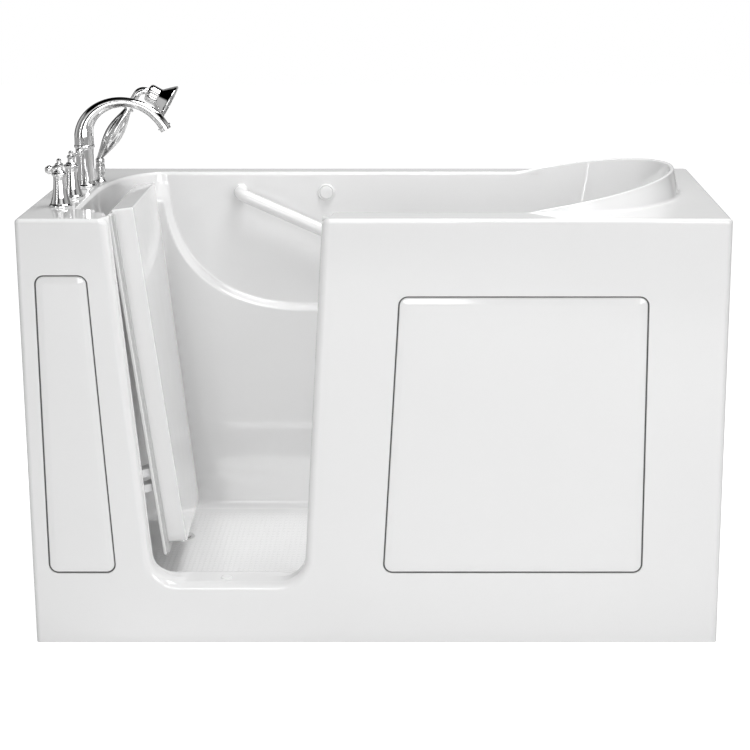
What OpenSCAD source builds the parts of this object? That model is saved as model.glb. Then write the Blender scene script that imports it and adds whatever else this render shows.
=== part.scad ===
// Walk-in bathtub with an inward-swinging door, a seat, deck taps and a hand shower.
// +X right, +Y back, +Z up. The origin is on the floor, in the middle of the tub's plan.
// The door is drawn open, as it stands with the joints at zero.

/* [Tub] */
// Overall length from end to end
tub_l = 1524; // [1450:1:1700]
// Overall depth from the front face to the wall behind
tub_d = 762; // [740:1:860]
// Height of the deck above the floor
deck_h = 958; // [930:1:1020]
// Thickness of the moulded walls
wall = 8; // [6:0.5:9]
// Width of the deck at the tap end
tap_deck_w = 112; // [108:1:130]
// Width of the deck along the wall behind
back_deck_w = 68; // [56:1:80]
// Width of the deck along the front
front_deck_w = 91; // [86:1:100]
// Width of the deck left of the doorway
hinge_deck_w = 131; // [126:1:140]
// Width of the deck beyond the neck rest
end_deck_w = 104; // [96:1:130]

/* [Inside] */
// Height of the footwell floor
floor_h = 98; // [96:1:110]
// Height of the seat
seat_h = 500; // [460:1:540]
// Distance from the tap end to the front edge of the seat
seat_front = 802; // [790:1:840]
// How far the ledge along the back wall lies below the deck
ledge_down = 332; // [318:1:358]
// How far the back wall steps back above the ledge
ledge_step = 22; // [14:1:28]
// Height of the neck rest above the deck
neck_rise = 62; // [40:1:70]

/* [Doorway] */
// Distance from the tap end to the doorway at deck height
door_x = 195; // [190:1:205]
// Width of the doorway at deck height
door_w = 457; // [440:1:470]
// Lean of the hinge side
hinge_lean = 5; // [4.5:0.1:5.2]
// Lean of the latch side
latch_lean = 3.5; // [3:0.1:4]
// Height of the threshold above the floor
sill_h = 140; // [134:1:146]
// Radius of the doorway's lower corners
sill_r = 62; // [45:1:70]
// Depth of the doorway's outer lip
lip_d = 47; // [40:1:50]

/* [Door] */
// Thickness of the door leaf
leaf_t = 46; // [40:1:48]
// How far the leaf laps behind the doorway's lip
leaf_lap = 10; // [6:0.5:12]
// Height of the leaf's lower edge
leaf_low = 163; // [158:1:168]
// Gap between the closed leaf and the deck line
leaf_top_gap = 4; // [2:0.5:6]
// Thickness of the door's inner panel
inner_t = 8; // [6:0.5:9]
// How far the inner panel stands out past the leaf
inner_lap = 25; // [20:1:28]
// Thickness of the door seal
seal_t = 5; // [3:0.5:5.5]
// Angle that the door swings open
door_open = 92.5; // [85:0.5:92.5]
// Radius of the hinge pins
pin_r = 4; // [3:0.5:5]
// Running clearance of the pins
pin_gap = 0.05; // [0.02:0.01:0.1]

/* [Panels] */
// Width of the gap round each access panel
seam = 3; // [2:0.5:4]
// Height of the lower edge of both access panels
panel_low = 167; // [160:1:180]
// Height of the upper edge of the left access panel
left_panel_top = 834; // [800:1:850]
// Height of the upper edge of the right access panel
right_panel_top = 788; // [740:1:820]
// Width of the right access panel along its lower edge
right_panel_w = 570; // [540:1:580]

/* [Frame] */
// Side of the square steel tube
tube = 25; // [20:1:28]
// Height of the base rails' underside
rail_low = 20; // [16:1:22]
// Radius of the feet
foot_r = 20; // [18:1:22]

/* [Taps] */
// Height of the spout's column
column_h = 94; // [84:1:104]
// Reach of the spout
spout_reach = 187; // [170:1:200]
// Rise of the spout above its column
spout_rise = 98; // [88:1:110]
// Radius of the spout's tube at its outlet
spout_r = 12.6; // [11.5:0.1:13.5]
// Height of the tap handles' bells
bell_h = 75; // [68:1:82]
// Radius of the bells at the deck
bell_r = 25; // [22:0.5:27]
// Length of the tap levers
lever_l = 52; // [44:1:58]

/* [Hand shower] */
// Radius of the hand shower's face
shower_r = 45.5; // [42:0.5:47]
// Length of the hand shower's handle
handle_l = 134; // [124:1:142]
// Lean of the handle
handle_lean = 32; // [28:1:34]
// Length of the straight neck above the handle
neck_len = 41; // [36:1:46]

/* [Grab bar] */
// Length of the bar between its ends
bar_l = 460; // [400:1:500]
// Radius of the bar
bar_r = 15; // [12:0.5:17]
// Slope of the bar
bar_slope = 24; // [20:0.1:32]
// Distance from the bar's axis to the wall
bar_off = 50; // [42:1:58]

/* [Waste] */
// Radius of the waste pipe
waste_r = 17; // [15:0.5:18]
// Radius of the overflow pipe
over_r = 12; // [10:0.5:13]
// Radius of the drain push button
button_r = 16; // [14:0.5:18]

/* [Hidden] */

$fn = 48;
seat = 0.3;                 // gap where a piece seats on another
far = 2000;                 // longer than the tub, for cuts that run right through
gloss = [0.95, 0.95, 0.95];
steel = [0.62, 0.63, 0.65];
bright = [0.82, 0.83, 0.85];

// The outer box
x_l = -tub_l / 2;
x_r = tub_l / 2;
y_f = -tub_d / 2;
y_b = tub_d / 2;
under_deck = deck_h - wall;

// The basin's edges at the deck
rim_l = x_l + tap_deck_w;
rim_f = y_f + front_deck_w;
rim_b = y_b - back_deck_w;
rim_r = x_r - end_deck_w;
box_f = y_f + hinge_deck_w;
mid_y = (rim_f + rim_b) / 2;
half_d = (rim_b - rim_f) / 2;
round_w = 120;                       // the rounded corner at the back of the tap end
round_d = 308;
seat_x = x_l + seat_front;
foot_l = rim_l + 20;                 // the footwell narrows a little towards the floor
round_x = x_r - 362;                 // where the neck end starts to curve
neck_start = x_r - 432;              // where the neck rest starts to rise
neck_top = deck_h + neck_rise;
neck_side = 0.27;                    // the ring is thinner at its sides than at its end
neck_foot = 30;                      // how far the ring reaches out from the hollow at the deck
neck_crown = 22;                     // and at its top, where the hollow leans outwards
ledge_h = deck_h - ledge_down;
low_b = rim_b - ledge_step;          // back wall below the ledge
ledge_band = 18;                     // height of the ledge's sloping face

// The doorway's sides at height z
function way_l(z) = x_l + door_x + (deck_h - z) * tan(hinge_lean);
function way_r(z) = x_l + door_x + door_w - (deck_h - z) * tan(latch_lean);
// The leaf's sides at height z
function leaf_l(z) = way_l(z) - leaf_lap + 1;
function leaf_r(z) = way_r(z) + leaf_lap + 1;
leaf_y = y_f + lip_d + 3;            // outer face of the closed leaf
leaf_top = deck_h - leaf_top_gap;
inner_y = leaf_y + leaf_t;           // the inner panel's outer face
inner_b = inner_y + inner_t;         // the inner panel's face towards the bather
inner_low = leaf_low - inner_lap + 5;
inner_r_lap = 14;                    // the inner panel's lap on the latch side
leaf_gap = 6;                        // gap between the leaf and the doorway's rebate
jamb_w = 45;                         // width of the doorway's frame past the leaf

// The hinge axis leans with the doorway and a little to the front
hinge_up = [-0.071, -0.041, 1];
hinge_at = [x_l + 167.4, y_f + 115.5, deck_h];
function hinge_point(z) = hinge_at + (z - deck_h) * hinge_up;
knuckle_r = pin_r + 4;
knuckle_h = 18;
hinge_z = [330, 800];                // heights of the two hinges

latch_z = 640;
latch_x = leaf_r(latch_z) - 24;      // the latch's pivot, door closed
latch_reach = 70;
spindle_r = 7;
spindle_in = 20;                     // how deep the spindle sits in the leaf

// Places on the deck
taps_x = x_l + 72;
hot_y = y_f + 169;
cold_y = y_f + 297;
spout_y = rim_b - 227;
shower_at = [x_l + 100.5, rim_b - 177];
pipe_z = deck_h - 78;                // the manifold's height
shank_r = 10;

// Grab bar, button and drain
bar_in = 415;                        // from the tap end to the bar's upper end
bar_down = 46;                       // from the deck down to the bar's upper end
button_in = 626;                     // and to the drain button
drain_in = 272;                      // and to the drain
drain_back = 441;                    // from the front to the drain
bar_at = [x_l + bar_in, rim_b - bar_off, deck_h - bar_down];
button_at = [x_l + button_in, rim_b, deck_h - 50];
drain_at = [x_l + drain_in, y_f + drain_back];
waste_z = 70;

//// Shapes ////

// One round corner of a loop: centre, radii and the angle it starts at
function corner(c, r, a, z, n = 8) =
    [for (i = [0 : n]) [c[0] + r[0] * cos(a + 90 * i / n), c[1] + r[1] * sin(a + 90 * i / n), z]];

// A level loop round a plan box, with a pair of radii for each corner:
// front left, front right, back right, back left
function loop(x0, x1, y0, y1, r, z, n = 8) = concat(
    corner([x0 + r[0][0], y0 + r[0][1]], r[0], 180, z, n),
    corner([x1 - r[1][0], y0 + r[1][1]], r[1], 270, z, n),
    corner([x1 - r[2][0], y1 - r[2][1]], r[2], 0, z, n),
    corner([x0 + r[3][0], y1 - r[3][1]], r[3], 90, z, n));

// A solid through loops of equal length, lowest first
module loft(loops) {
    n = len(loops[0]);
    m = len(loops);
    polyhedron(
        points = [for (l = loops) each l],
        faces = concat(
            [[for (i = [0 : n - 1]) i]],
            [for (k = [0 : m - 2], i = [0 : n - 1]) [k * n + i, (k + 1) * n + i, (k + 1) * n + (i + 1) % n]],
            [for (k = [0 : m - 2], i = [0 : n - 1])
                [k * n + i, (k + 1) * n + (i + 1) % n, k * n + (i + 1) % n]],
            [[for (i = [n - 1 : -1 : 0]) (m - 1) * n + i]]));
}

// A ring of n points round a point of a path in the XZ plane, square to direction a (degrees from +Z)
function ring(p, r, a, n) =
    [for (i = [0 : n - 1]) let (t = 360 * i / n)
        [p[0] + r * cos(t) * cos(a), p[1] + r * sin(t), p[2] - r * cos(t) * sin(a)]];

// An outline drawn in X and Z, from depth y0 to y1
module upright(y0, y1) {
    translate([0, y1, 0]) rotate([90, 0, 0]) linear_extrude(y1 - y0) children();
}

// The door's outline grown by l, r and b at its left, right and bottom, round at its
// lower corners and square at the top
module leaf_shape(l, r, b, top, round_r) {
    low = leaf_low - b;
    over = top + 3 * round_r;
    intersection() {
        offset(r = round_r) offset(delta = -round_r)
            polygon([[leaf_l(low) - l, low], [leaf_r(low) + r, low],
                [leaf_r(over) + r, over], [leaf_l(over) - l, over]]);
        translate([x_l, low - 1]) square([tub_l, top - low + 1]);
    }
}

// The clear doorway
module way_shape(top) {
    offset(r = sill_r) offset(delta = -sill_r)
        polygon([[way_l(sill_h), sill_h], [way_r(sill_h), sill_h],
            [way_r(top), top], [way_l(top), top]]);
}

// A cylinder lying towards +Y
module rod_y(r, l) {
    rotate([-90, 0, 0]) cylinder(r = r, h = l);
}

// What is inside moves from the closed place to the open one
module opened() {
    translate(hinge_at) rotate(a = door_open, v = hinge_up) translate(-hinge_at) children();
}

// Turned to stand on the hinge axis at height z, its own +Z along the axis
module on_hinge(z) {
    translate(hinge_point(z))
        rotate([atan(-hinge_up[1]), 0, 0]) rotate([0, atan(hinge_up[0]), 0]) children();
}

//// The moulded tub ////

// The footwell, grown by g on every side
module footwell(g) {
    small = [wall + g, wall + g];
    function level(x, y1, z, s) = loop(x - g, seat_x + g, box_f - g, y1 + g,
        [small, small, [s + g, s + g], [round_w + g, round_d + g]], z);
    loft([
        level(foot_l + 22, low_b - 22, floor_h - g, 20),
        level(foot_l + 6, low_b - 6, floor_h + 8 - g, 26),
        level(foot_l, low_b, floor_h + 28, 30),
        level(rim_l, low_b, deck_h - 70, 30),
        level(rim_l, rim_b, deck_h - 12 + g, 30),
        level(rim_l, rim_b, neck_top + 10, 30)]);
}

// The seat space with its rounded neck end, grown by g
module seat_well(g) {
    function level(x1, y1, z) = let (r = [x1 - round_x + g, (y1 - rim_f) / 2 + g - 3])
        loop(seat_x - 120, x1 + g, rim_f - g, y1 + g, [[10, 10], r, r, [10, 10]], z, 12);
    run = rim_r - (x_r - 202);
    function end_x(z) = rim_r - run * (deck_h - z) / (deck_h - seat_h);
    loft([
        level(end_x(seat_h) - 24, low_b - 18, seat_h - g),
        level(end_x(seat_h), low_b, seat_h + 24 - g),
        level(end_x(ledge_h), low_b, ledge_h - ledge_band),
        level(end_x(ledge_h), rim_b, ledge_h),
        level(end_x(deck_h), rim_b, deck_h),
        level(end_x(neck_top + 10), rim_b, neck_top + 10)]);
}

// The doorway's side of the footwell, where the front wall is thinner
module door_well(g) {
    low = floor_h - g;
    function side(z) = leaf_l(z) - inner_lap - 9 - g;
    top = deck_h + (g > 0 ? -wall : 20);
    upright(rim_f - g, box_f + 20)
        polygon([[side(low), low], [seat_x + g, low], [seat_x + g, top], [side(top), top]]);
}

ledge_end = 602;                     // from the tap end to where the ledge runs level
ledge_run = 366;                     // length of its curved part
ledge_square = 2.5;                  // 2 draws a quarter of an ellipse, more is squarer

// The edge of the ledge, swept down and to the right in one curve, at distance d outside
function ledge_curve(d, n = 18) = let (
        rx = ledge_run + d, rz = deck_h - ledge_h + d,
        cx = x_l + ledge_end, e = 2 / ledge_square)
    [for (i = [0 : n]) let (a = 90 * i / n)
        [cx - rx * pow(cos(a), e), deck_h - rz * pow(sin(a), e)]];

// The hollow above the ledge, grown by g
module ledge_hollow(g) {
    right = seat_x - 60;
    left = x_l + ledge_end - ledge_run;
    function at(y, d) = [for (p = concat([[right, deck_h + 40], [left - d, deck_h + 40]],
        ledge_curve(d), [[right, ledge_h - d]])) [p[0], y, p[1]]];
    loft([at(rim_b + g, g), at(low_b - 1 + g, ledge_band + g), at(low_b - 30 + g, ledge_band + g)]);
}

// The raised ring that the neck rests on, before its top is cut
module neck_ring() {
    function level(g, z) = let (r = [rim_r + g - round_x, half_d + neck_side * g - 2])
        loop(round_x - 200, rim_r + g, rim_f - neck_side * g, rim_b + neck_side * g,
            [[5, 5], r, r, [5, 5]], z, 16);
    intersection() {
        loft([level(neck_foot, under_deck), level(neck_foot, deck_h + 2),
            level(neck_crown, neck_top + 2)]);
        translate([neck_start - 40, -tub_d, 0]) cube([far, 2 * tub_d, neck_top]);
    }
}

// All that lies above the deck and above the ring's sloping top
module above_deck() {
    upright(-far, far) polygon([[-far, deck_h], [neck_start, deck_h], [rim_r + 12, neck_top],
        [far, neck_top], [far, far], [-far, far]]);
}

// Every hollow of the tub, grown by g
module wells(g) {
    footwell(g);
    seat_well(g);
    door_well(g);
    ledge_hollow(g);
}

// What is cut from all regions of the moulding
module moulding_cuts() {
    above_deck();
    wells(0);
    // place of the doorway's frame
    upright(y_f - 1, rim_f) leaf_shape(jamb_w, jamb_w, leaf_low - floor_h + wall, deck_h + 90, 1);
    translate([drain_at[0], drain_at[1], 0]) cylinder(r = waste_r + 1, h = floor_h + 20);
    for (p = tap_holes()) translate([p[0], p[1], under_deck - 5]) cylinder(r = p[2], h = wall + 10);
    translate([button_at[0], rim_b - 30, button_at[2]]) rod_y(button_r + 3.5, 60);
    for (p = bar_ends()) translate([p[0], rim_b - 30, p[2]]) rod_y(5.5, 60);
}

// The moulding's walls below the deck, from x0 to x1 and from y0 to y1
module region(x0, x1, y0, y1) {
    difference() {
        intersection() {
            wells(wall);
            translate([x0, y0, 0]) cube([x1 - x0, y1 - y0, under_deck]);
        }
        moulding_cuts();
    }
}

cut_y = low_b - 6;                   // the back wall's region starts just inside its face
cut_x = seat_x + 40;                 // the seat's region starts behind its front edge
corner_cut = x_l + 437;              // the ledge's bent part ends left of here
drain_pad = 140;                     // side of the floor's region round the drain

module drain_square() {
    translate([drain_at[0] - drain_pad / 2, drain_at[1] - drain_pad / 2, floor_h - 2 * wall])
        cube([drain_pad, drain_pad, 4 * wall]);
}

// Footwell, its front and the seat's front edge
module tub_basin() {
    color(gloss) difference() {
        region(x_l, cut_x, y_f, cut_y);
        drain_square();
    }
}

module seat_basin() {
    color(gloss) region(cut_x, x_r, y_f, cut_y);
}

module back_wall() {
    color(gloss) region(corner_cut, x_r, cut_y, y_b);
}

// The back wall's tap end, where the ledge sweeps up to the deck
module ledge_corner() {
    color(gloss) region(x_l, corner_cut, cut_y, y_b);
}

// Deck and neck ring
module tub_deck() {
    color(gloss) difference() {
        union() {
            translate([x_l, y_f, under_deck]) cube([tub_l, tub_d, wall]);
            neck_ring();
        }
        moulding_cuts();
    }
}

module drain_floor() {
    color(gloss) intersection() {
        region(x_l, cut_x, y_f, cut_y);
        drain_square();
    }
}

// Each hole in the deck: place and radius
function tap_holes() = [
    [taps_x - 2, hot_y, shank_r + 1], [taps_x + 1, cold_y, shank_r + 1],
    [taps_x + 2, spout_y, shank_r + 3], [shower_at[0], shower_at[1], shank_r - 1]];

module front_apron() {
    ring_low = floor_h - wall;
    left = left_panel_points();
    right = right_panel_points();
    color(gloss) difference() {
        union() {
            translate([x_l, y_f, 0]) cube([tub_l, wall, under_deck]);
            upright(y_f, rim_f)
                intersection() {
                    leaf_shape(jamb_w, jamb_w, leaf_low - ring_low, deck_h + 90, 1);
                    translate([-far, ring_low]) square([2 * far, deck_h - ring_low]);
                }
            for (p = [left, right]) upright(y_f + 1, y_f + wall + 5) offset(delta = 18) polygon(p);
        }
        upright(y_f - 1, leaf_y + 1) way_shape(deck_h + 200);
        upright(leaf_y - 3, rim_f + 1) union() {
            leaf_shape(leaf_gap, leaf_gap, leaf_low - sill_h, deck_h + 200, sill_r);
            way_shape(deck_h + 200);
        }
        for (p = [left, right]) {
            upright(y_f - 1, y_f + wall) offset(r = 20 + seam) offset(delta = -20) polygon(p);
            upright(y_f, y_f + 40) offset(delta = -15) polygon(p);
        }
        for (q = concat(stud_places(left), stud_places(right)))
            translate([q[0], y_f, q[1]]) rod_y(stud_r + pin_gap, 30);
    }
}

//// Access panels ////

stud_r = 4;
left_panel_in = 39.5;                // from the tap end to the left panel's straight edge
left_panel_w = 143.5;                // its width at the foot
left_panel_lean = 36.7;              // how far its right edge leans in towards the top
right_panel_in = 174.6;              // from the seat end to the right panel
right_panel_lean = 3.5;              // how far its left edge leans, in degrees
function left_panel_points() = let (a = x_l + left_panel_in, b = a + left_panel_w) [
    [a, panel_low], [b, panel_low], [b - left_panel_lean, left_panel_top], [a, left_panel_top]];
function right_panel_points() = let (
        b = x_r - right_panel_in, a = b - right_panel_w,
        rise = right_panel_top - panel_low) [
    [a, panel_low], [b, panel_low],
    [b - 1.4, right_panel_top], [a + rise * tan(right_panel_lean), right_panel_top]];
// Studs sit on the backing strip, a little in from each corner
function stud_places(p) = [
    p[0] + [7, 60], p[1] + [-12, 60], p[2] + [-6, -60], p[3] + [7, -60]];

module access_panel(p) {
    color(gloss) difference() {
        union() {
            upright(y_f + 1.5, y_f + wall - seat) offset(r = 18) offset(delta = -18) polygon(p);
            upright(y_f, y_f + 3) offset(r = 14) offset(delta = -17) polygon(p);
        }
        for (q = stud_places(p)) translate([q[0], y_f + 4, q[1]]) rod_y(stud_r - 1.5 + pin_gap, 10);
    }
}

module panel_studs(p) {
    color(steel) for (q = stud_places(p)) translate([q[0], 0, q[1]]) {
        translate([0, y_f + 4, 0]) rod_y(stud_r - 1.5, wall - 4);
        translate([0, y_f + wall - seat, 0]) rod_y(stud_r, 12);
    }
}

module left_access_panel() access_panel(left_panel_points());
module right_access_panel() access_panel(right_panel_points());
module left_panel_studs() panel_studs(left_panel_points());
module right_panel_studs() panel_studs(right_panel_points());

//// End panels and frame ////

module end_panel(x) {
    color(gloss) translate([x, y_f + wall, 0]) cube([wall, tub_d - wall, under_deck]);
}
module left_end_panel() end_panel(x_l);
module right_end_panel() end_panel(x_r - wall);

rail_top = rail_low + tube;
rail_y = y_b - 32;
rail_len = tub_l - 2 * wall - 20;
foot_stud_r = 5;
foot_x = [x_l + 60, 0, x_r - 60];
leg_in = 150;                        // the first seat leg, back from the seat's front edge
leg_pitch = 230;
leg_span = 400;                      // length of the bearer under the seat
seat_legs_at = [seat_x + leg_in, seat_x + leg_in + leg_pitch];
end_rail = 30;                       // the outer cross rails, in from the tub's ends
floor_rail = 400;                    // the cross rails under the footwell's floor
nose_rail = 72;
cross_x = concat([x_l + end_rail, x_l + floor_rail, seat_x - nose_rail], seat_legs_at, [x_r - end_rail]);

module base_rails() {
    color(steel) difference() {
        for (s = [-1, 1])
            translate([-rail_len / 2, s * rail_y - tube / 2, rail_low]) cube([rail_len, tube, tube]);
        for (x = foot_x, s = [-1, 1])
            translate([x, s * rail_y, 0]) cylinder(r = foot_stud_r + pin_gap, h = 200);
    }
}

module cross_rails() {
    color(steel) for (x = cross_x)
        translate([x - tube / 2, -rail_y + tube / 2, rail_low]) cube([tube, 2 * rail_y - tube, tube]);
}

post_h = under_deck - rail_top - tube;
post_places = [
    [x_l + wall + tube / 2 + 2, -rail_y], [seat_x - 40 - tube / 2, -rail_y],
    [x_r - wall - tube / 2 - 2, -rail_y],
    [x_l + wall + tube / 2 + 2, rail_y], [0, rail_y], [x_r - wall - tube / 2 - 2, rail_y]];

module frame_posts() {
    color(steel) for (p = post_places)
        translate([p[0] - tube / 2, p[1] - tube / 2, rail_top]) cube([tube, tube, post_h]);
}

// Bearers lie under the deck, clear of the doorway at the front
module deck_bearers() {
    z = under_deck - tube;
    front_l = seat_x - 42 - tube;
    color(steel) {
        translate([x_l + wall + 2, rail_y - tube / 2, z]) cube([tub_l - 2 * wall - 4, tube, tube]);
        translate([front_l, -rail_y - tube / 2, z]) cube([x_r - wall - 2 - front_l, tube, tube]);
        translate([x_l + wall + 2, -rail_y - tube / 2, z]) cube([tube, 2 * rail_y, tube]);
        translate([x_r - wall - 2 - tube, -rail_y + tube / 2, z]) cube([tube, 2 * rail_y - tube, tube]);
    }
}

module seat_legs() {
    top = seat_h - wall;
    color(steel) for (x = seat_legs_at) {
        translate([x - tube / 2, -leg_span / 2, top - tube]) cube([tube, leg_span, tube]);
        for (s = [-1, 1])
            translate([x - tube / 2, s * (leg_span / 2 - 10) - tube / 2, rail_top])
                cube([tube, tube, top - tube - rail_top]);
    }
}

module floor_pads() {
    low = rail_top;
    color([0.2, 0.2, 0.2]) for (x = [cross_x[1], cross_x[2]], s = [-1, 1])
        translate([x - 20, s * 170 - 30, low]) cube([40, 60, floor_h - wall - low]);
}

module levelling_feet() {
    color([0.2, 0.2, 0.2]) for (x = foot_x, s = [-1, 1]) translate([x, s * rail_y, 0]) {
        cylinder(r = foot_r, h = 6);
        cylinder(r = foot_r * 0.6, h = 9);
        cylinder(r = foot_stud_r, h = rail_top - 2);
    }
}

module foot_nuts() {
    color(steel) for (x = foot_x, s = [-1, 1]) translate([x, s * rail_y, rail_low - 6])
        difference() {
            cylinder(r = 9, h = 6, $fn = 6);
            translate([0, 0, -1]) cylinder(r = foot_stud_r + pin_gap, h = 8, $fn = 48);
        }
}

//// Door ////

leaf_turn = 24;                      // round of the leaf's lower corners
leaf_edge = 3;                       // step round the leaf's outer face

module door_leaf() {
    color(gloss) opened() difference() {
        union() {
            upright(leaf_y + leaf_edge, inner_y) leaf_shape(0, 0, 0, leaf_top, leaf_turn);
            upright(leaf_y, leaf_y + leaf_edge + 1)
                leaf_shape(-leaf_edge, -leaf_edge, -leaf_edge, leaf_top - leaf_edge, leaf_turn - 4);
        }
        translate([latch_x, inner_y - spindle_in - 1, latch_z]) rod_y(spindle_r + pin_gap, leaf_t);
    }
}

module inner_panel_shape() {
    leaf_shape(inner_lap, inner_r_lap, leaf_low - inner_low, leaf_top - 6, 12);
}

module door_inner_panel() {
    color(gloss) opened() difference() {
        upright(inner_y, inner_b) inner_panel_shape();
        translate([latch_x, -far, latch_z]) rod_y(spindle_r + pin_gap, 2 * far);
    }
}

// A hollow strip that hugs the leaf and seals against the doorway's frame
module door_gasket() {
    color([0.75, 0.76, 0.77]) opened() upright(inner_y - seal_t, inner_y) difference() {
        offset(delta = -4) inner_panel_shape();
        leaf_shape(1, 1, 1, 2 * deck_h, leaf_turn + 1);
    }
}

module hinge_bracket(z) {
    // the foot of the arm lies on the inner face of the box left of the doorway
    p = hinge_point(z);
    box_edge = leaf_l(z) - inner_lap - 9;
    reach = box_edge - p[0] - 2;
    drop = box_f - p[1];
    difference() {
        union() {
            translate([box_edge - 40, box_f, z - 26]) cube([36, 4, 52]);
            on_hinge(z) hull() {
                translate([0, 0, -knuckle_h / 2]) cylinder(r = knuckle_r, h = knuckle_h, $fn = 32);
                translate([reach - 3, drop + 1, -knuckle_h / 2]) cube([3, 4, knuckle_h]);
            }
            on_hinge(z) translate([reach - 12, drop, -knuckle_h / 2]) cube([12, 5, knuckle_h]);
        }
        on_hinge(z) translate([0, 0, -50]) cylinder(r = pin_r + pin_gap, h = 100);
        // cut flush with the box, whose edge leans
        translate([box_edge - 97, box_f - 60, z - 100]) cube([100, 60, 200]);
    }
}

module hinge_brackets() {
    color(gloss) for (z = hinge_z) hinge_bracket(z);
}

// Two knuckles and their foot on the door's inner panel
module hinge_arm(z) {
    drop = inner_b - hinge_point(z)[1];
    difference() {
        union() for (s = [-1, 1]) on_hinge(z)
            translate([0, 0, s * (knuckle_h + 0.6) - knuckle_h / 2]) hull() {
                cylinder(r = knuckle_r, h = knuckle_h, $fn = 32);
                translate([14, drop + 0.8, 0]) cube([34, 5, knuckle_h]);
            }
        on_hinge(z) translate([0, 0, -60]) cylinder(r = pin_r + pin_gap, h = 120);
        upright(inner_y - 100, inner_b) square([4 * far, 4 * far], center = true);
    }
}

module hinge_arms() {
    color(gloss) opened() for (z = hinge_z) hinge_arm(z);
}

module hinge_pins() {
    l = 3 * knuckle_h + 8;
    color(steel) opened() for (z = hinge_z) on_hinge(z) {
        translate([0, 0, -l / 2]) cylinder(r = pin_r, h = l);
        translate([0, 0, l / 2 - 2]) cylinder(r = pin_r + 2, h = 3);
    }
}

//// Latch ////

keeper_w = 36;
keeper_x = leaf_r(latch_z) + inner_r_lap + 6;
cam_y = inner_b + 5;                 // the cam's near face
cam_t = 8;

module latch_spindle() {
    color(steel) opened() translate([latch_x, inner_y - spindle_in, latch_z])
        rod_y(spindle_r, inner_b - inner_y + spindle_in + cam_t + 16);
}

module latch_escutcheon() {
    color(bright) opened() translate([latch_x, inner_b, latch_z]) difference() {
        rod_y(20, 4.5);
        translate([0, -1, 0]) rod_y(spindle_r + pin_gap, 10);
    }
}

// The finger that turns behind the keeper; at rest it points down
module latch_cam() {
    color(bright) opened() translate([latch_x, cam_y, latch_z]) difference() {
        union() {
            rod_y(15, cam_t);
            translate([-9, 0, -latch_reach + 9]) cube([18, cam_t, latch_reach - 9]);
            translate([0, 0, -latch_reach + 9]) rod_y(9, cam_t);
        }
        translate([0, -1, 0]) rod_y(spindle_r + pin_gap, cam_t + 2);
    }
}

// The lever that the bather turns
module latch_handle() {
    y = cam_t + 0.2;
    color(bright) opened() translate([latch_x, cam_y + y, latch_z]) difference() {
        union() {
            rod_y(14, 14);
            hull() {
                translate([0, 3, 0]) rod_y(9, 9);
                translate([-96, 6, 0]) rod_y(7, 7);
            }
        }
        translate([0, -1, 0]) rod_y(spindle_r + pin_gap, 12);
    }
}

module latch_keeper() {
    hook_y = cam_y + cam_t + 3;
    color(bright) translate([keeper_x, 0, latch_z - 24]) {
        translate([0, rim_f, 0]) cube([keeper_w, 4, 48]);
        translate([keeper_w - 5, rim_f + 3, 0]) cube([5, hook_y - rim_f - 3, 48]);
        translate([4, hook_y, 0]) cube([keeper_w - 4, 4, 48]);
    }
}

module threshold_cap() {
    color(gloss) translate([way_l(sill_h) + 160, y_f + 40, sill_h]) {
        cylinder(r = 13.5, h = 1.6);
        translate([0, 0, 1.6]) cylinder(r1 = 13.5, r2 = 10, h = 1.4);
    }
}

//// Grab bar ////

function bar_ends() = [bar_at, bar_at + bar_l * [cos(bar_slope), 0, -sin(bar_slope)]];

module grab_bar() {
    ends = bar_ends();
    bend = bar_r * 1.6;
    color(gloss) {
        translate(ends[0]) rotate([0, bar_slope, 0]) {
            translate([bend, 0, 0]) rotate([0, 90, 0]) cylinder(r = bar_r, h = bar_l - 2 * bend);
            for (m = [0, 1]) translate([m * bar_l, 0, 0]) mirror([m, 0, 0]) {
                translate([bend, bend, 0]) rotate([0, 0, 180]) rotate_extrude(angle = 90)
                    translate([bend, 0]) circle(r = bar_r);
                translate([0, bend, 0]) rod_y(bar_r, bar_off - bend - 6 - seat);
            }
        }
    }
}

module grab_bar_flanges() {
    color(gloss) for (p = bar_ends()) translate([p[0], rim_b - 6, p[2]]) {
        difference() {
            rod_y(bar_r + 2, 6);
            translate([0, -1, 0]) rod_y(5.05, 10);
        }
    }
}

module grab_bar_bolts() {
    color(steel) for (p = bar_ends()) translate([p[0], rim_b - 6, p[2]]) {
        rod_y(5, 6 + wall + 13);
        translate([0, 6 + wall, 0]) rod_y(16, 2);
        translate([0, 8 + wall, 0]) rotate([-90, 0, 0]) cylinder(r = 9, h = 8, $fn = 6);
    }
}

//// Drain ////

button_gap = 0.3;
button_throw = 5;
button_deep = 10.5;                  // depth of the button's cup behind the wall's face
button_stem = 36;
bezel_h = 8;                         // how far the bezel stands proud of the wall
housing = wall + 4;                  // depth of the housing's wide part
tail_r = 13;
tail_end = 38;
over_y = rim_b + tail_end + over_r;  // the overflow pipe's axis

module button_bezel() {
    color(gloss) translate([button_at[0], rim_b, button_at[2]]) difference() {
        union() {
            translate([0, -bezel_h, 0]) rod_y(button_r + 4.5, bezel_h);
            rod_y(button_r + 3, housing + 1);
            translate([0, wall, 0]) rod_y(button_r + 8, 4);
            rod_y(tail_r, tail_end - seat);
        }
        translate([0, -bezel_h - 1, 0]) rod_y(button_r + button_gap, bezel_h + 1 + button_deep);
        rod_y(5 + pin_gap, 60);
    }
}

module drain_button() {
    color(gloss) translate([button_at[0], rim_b, button_at[2]]) {
        translate([0, -bezel_h - 2, 0]) rod_y(button_r - 2, 2);
        translate([0, -bezel_h - 0.5, 0]) rod_y(button_r, button_deep - button_throw + bezel_h);
        rod_y(5, button_stem);
    }
}

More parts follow.
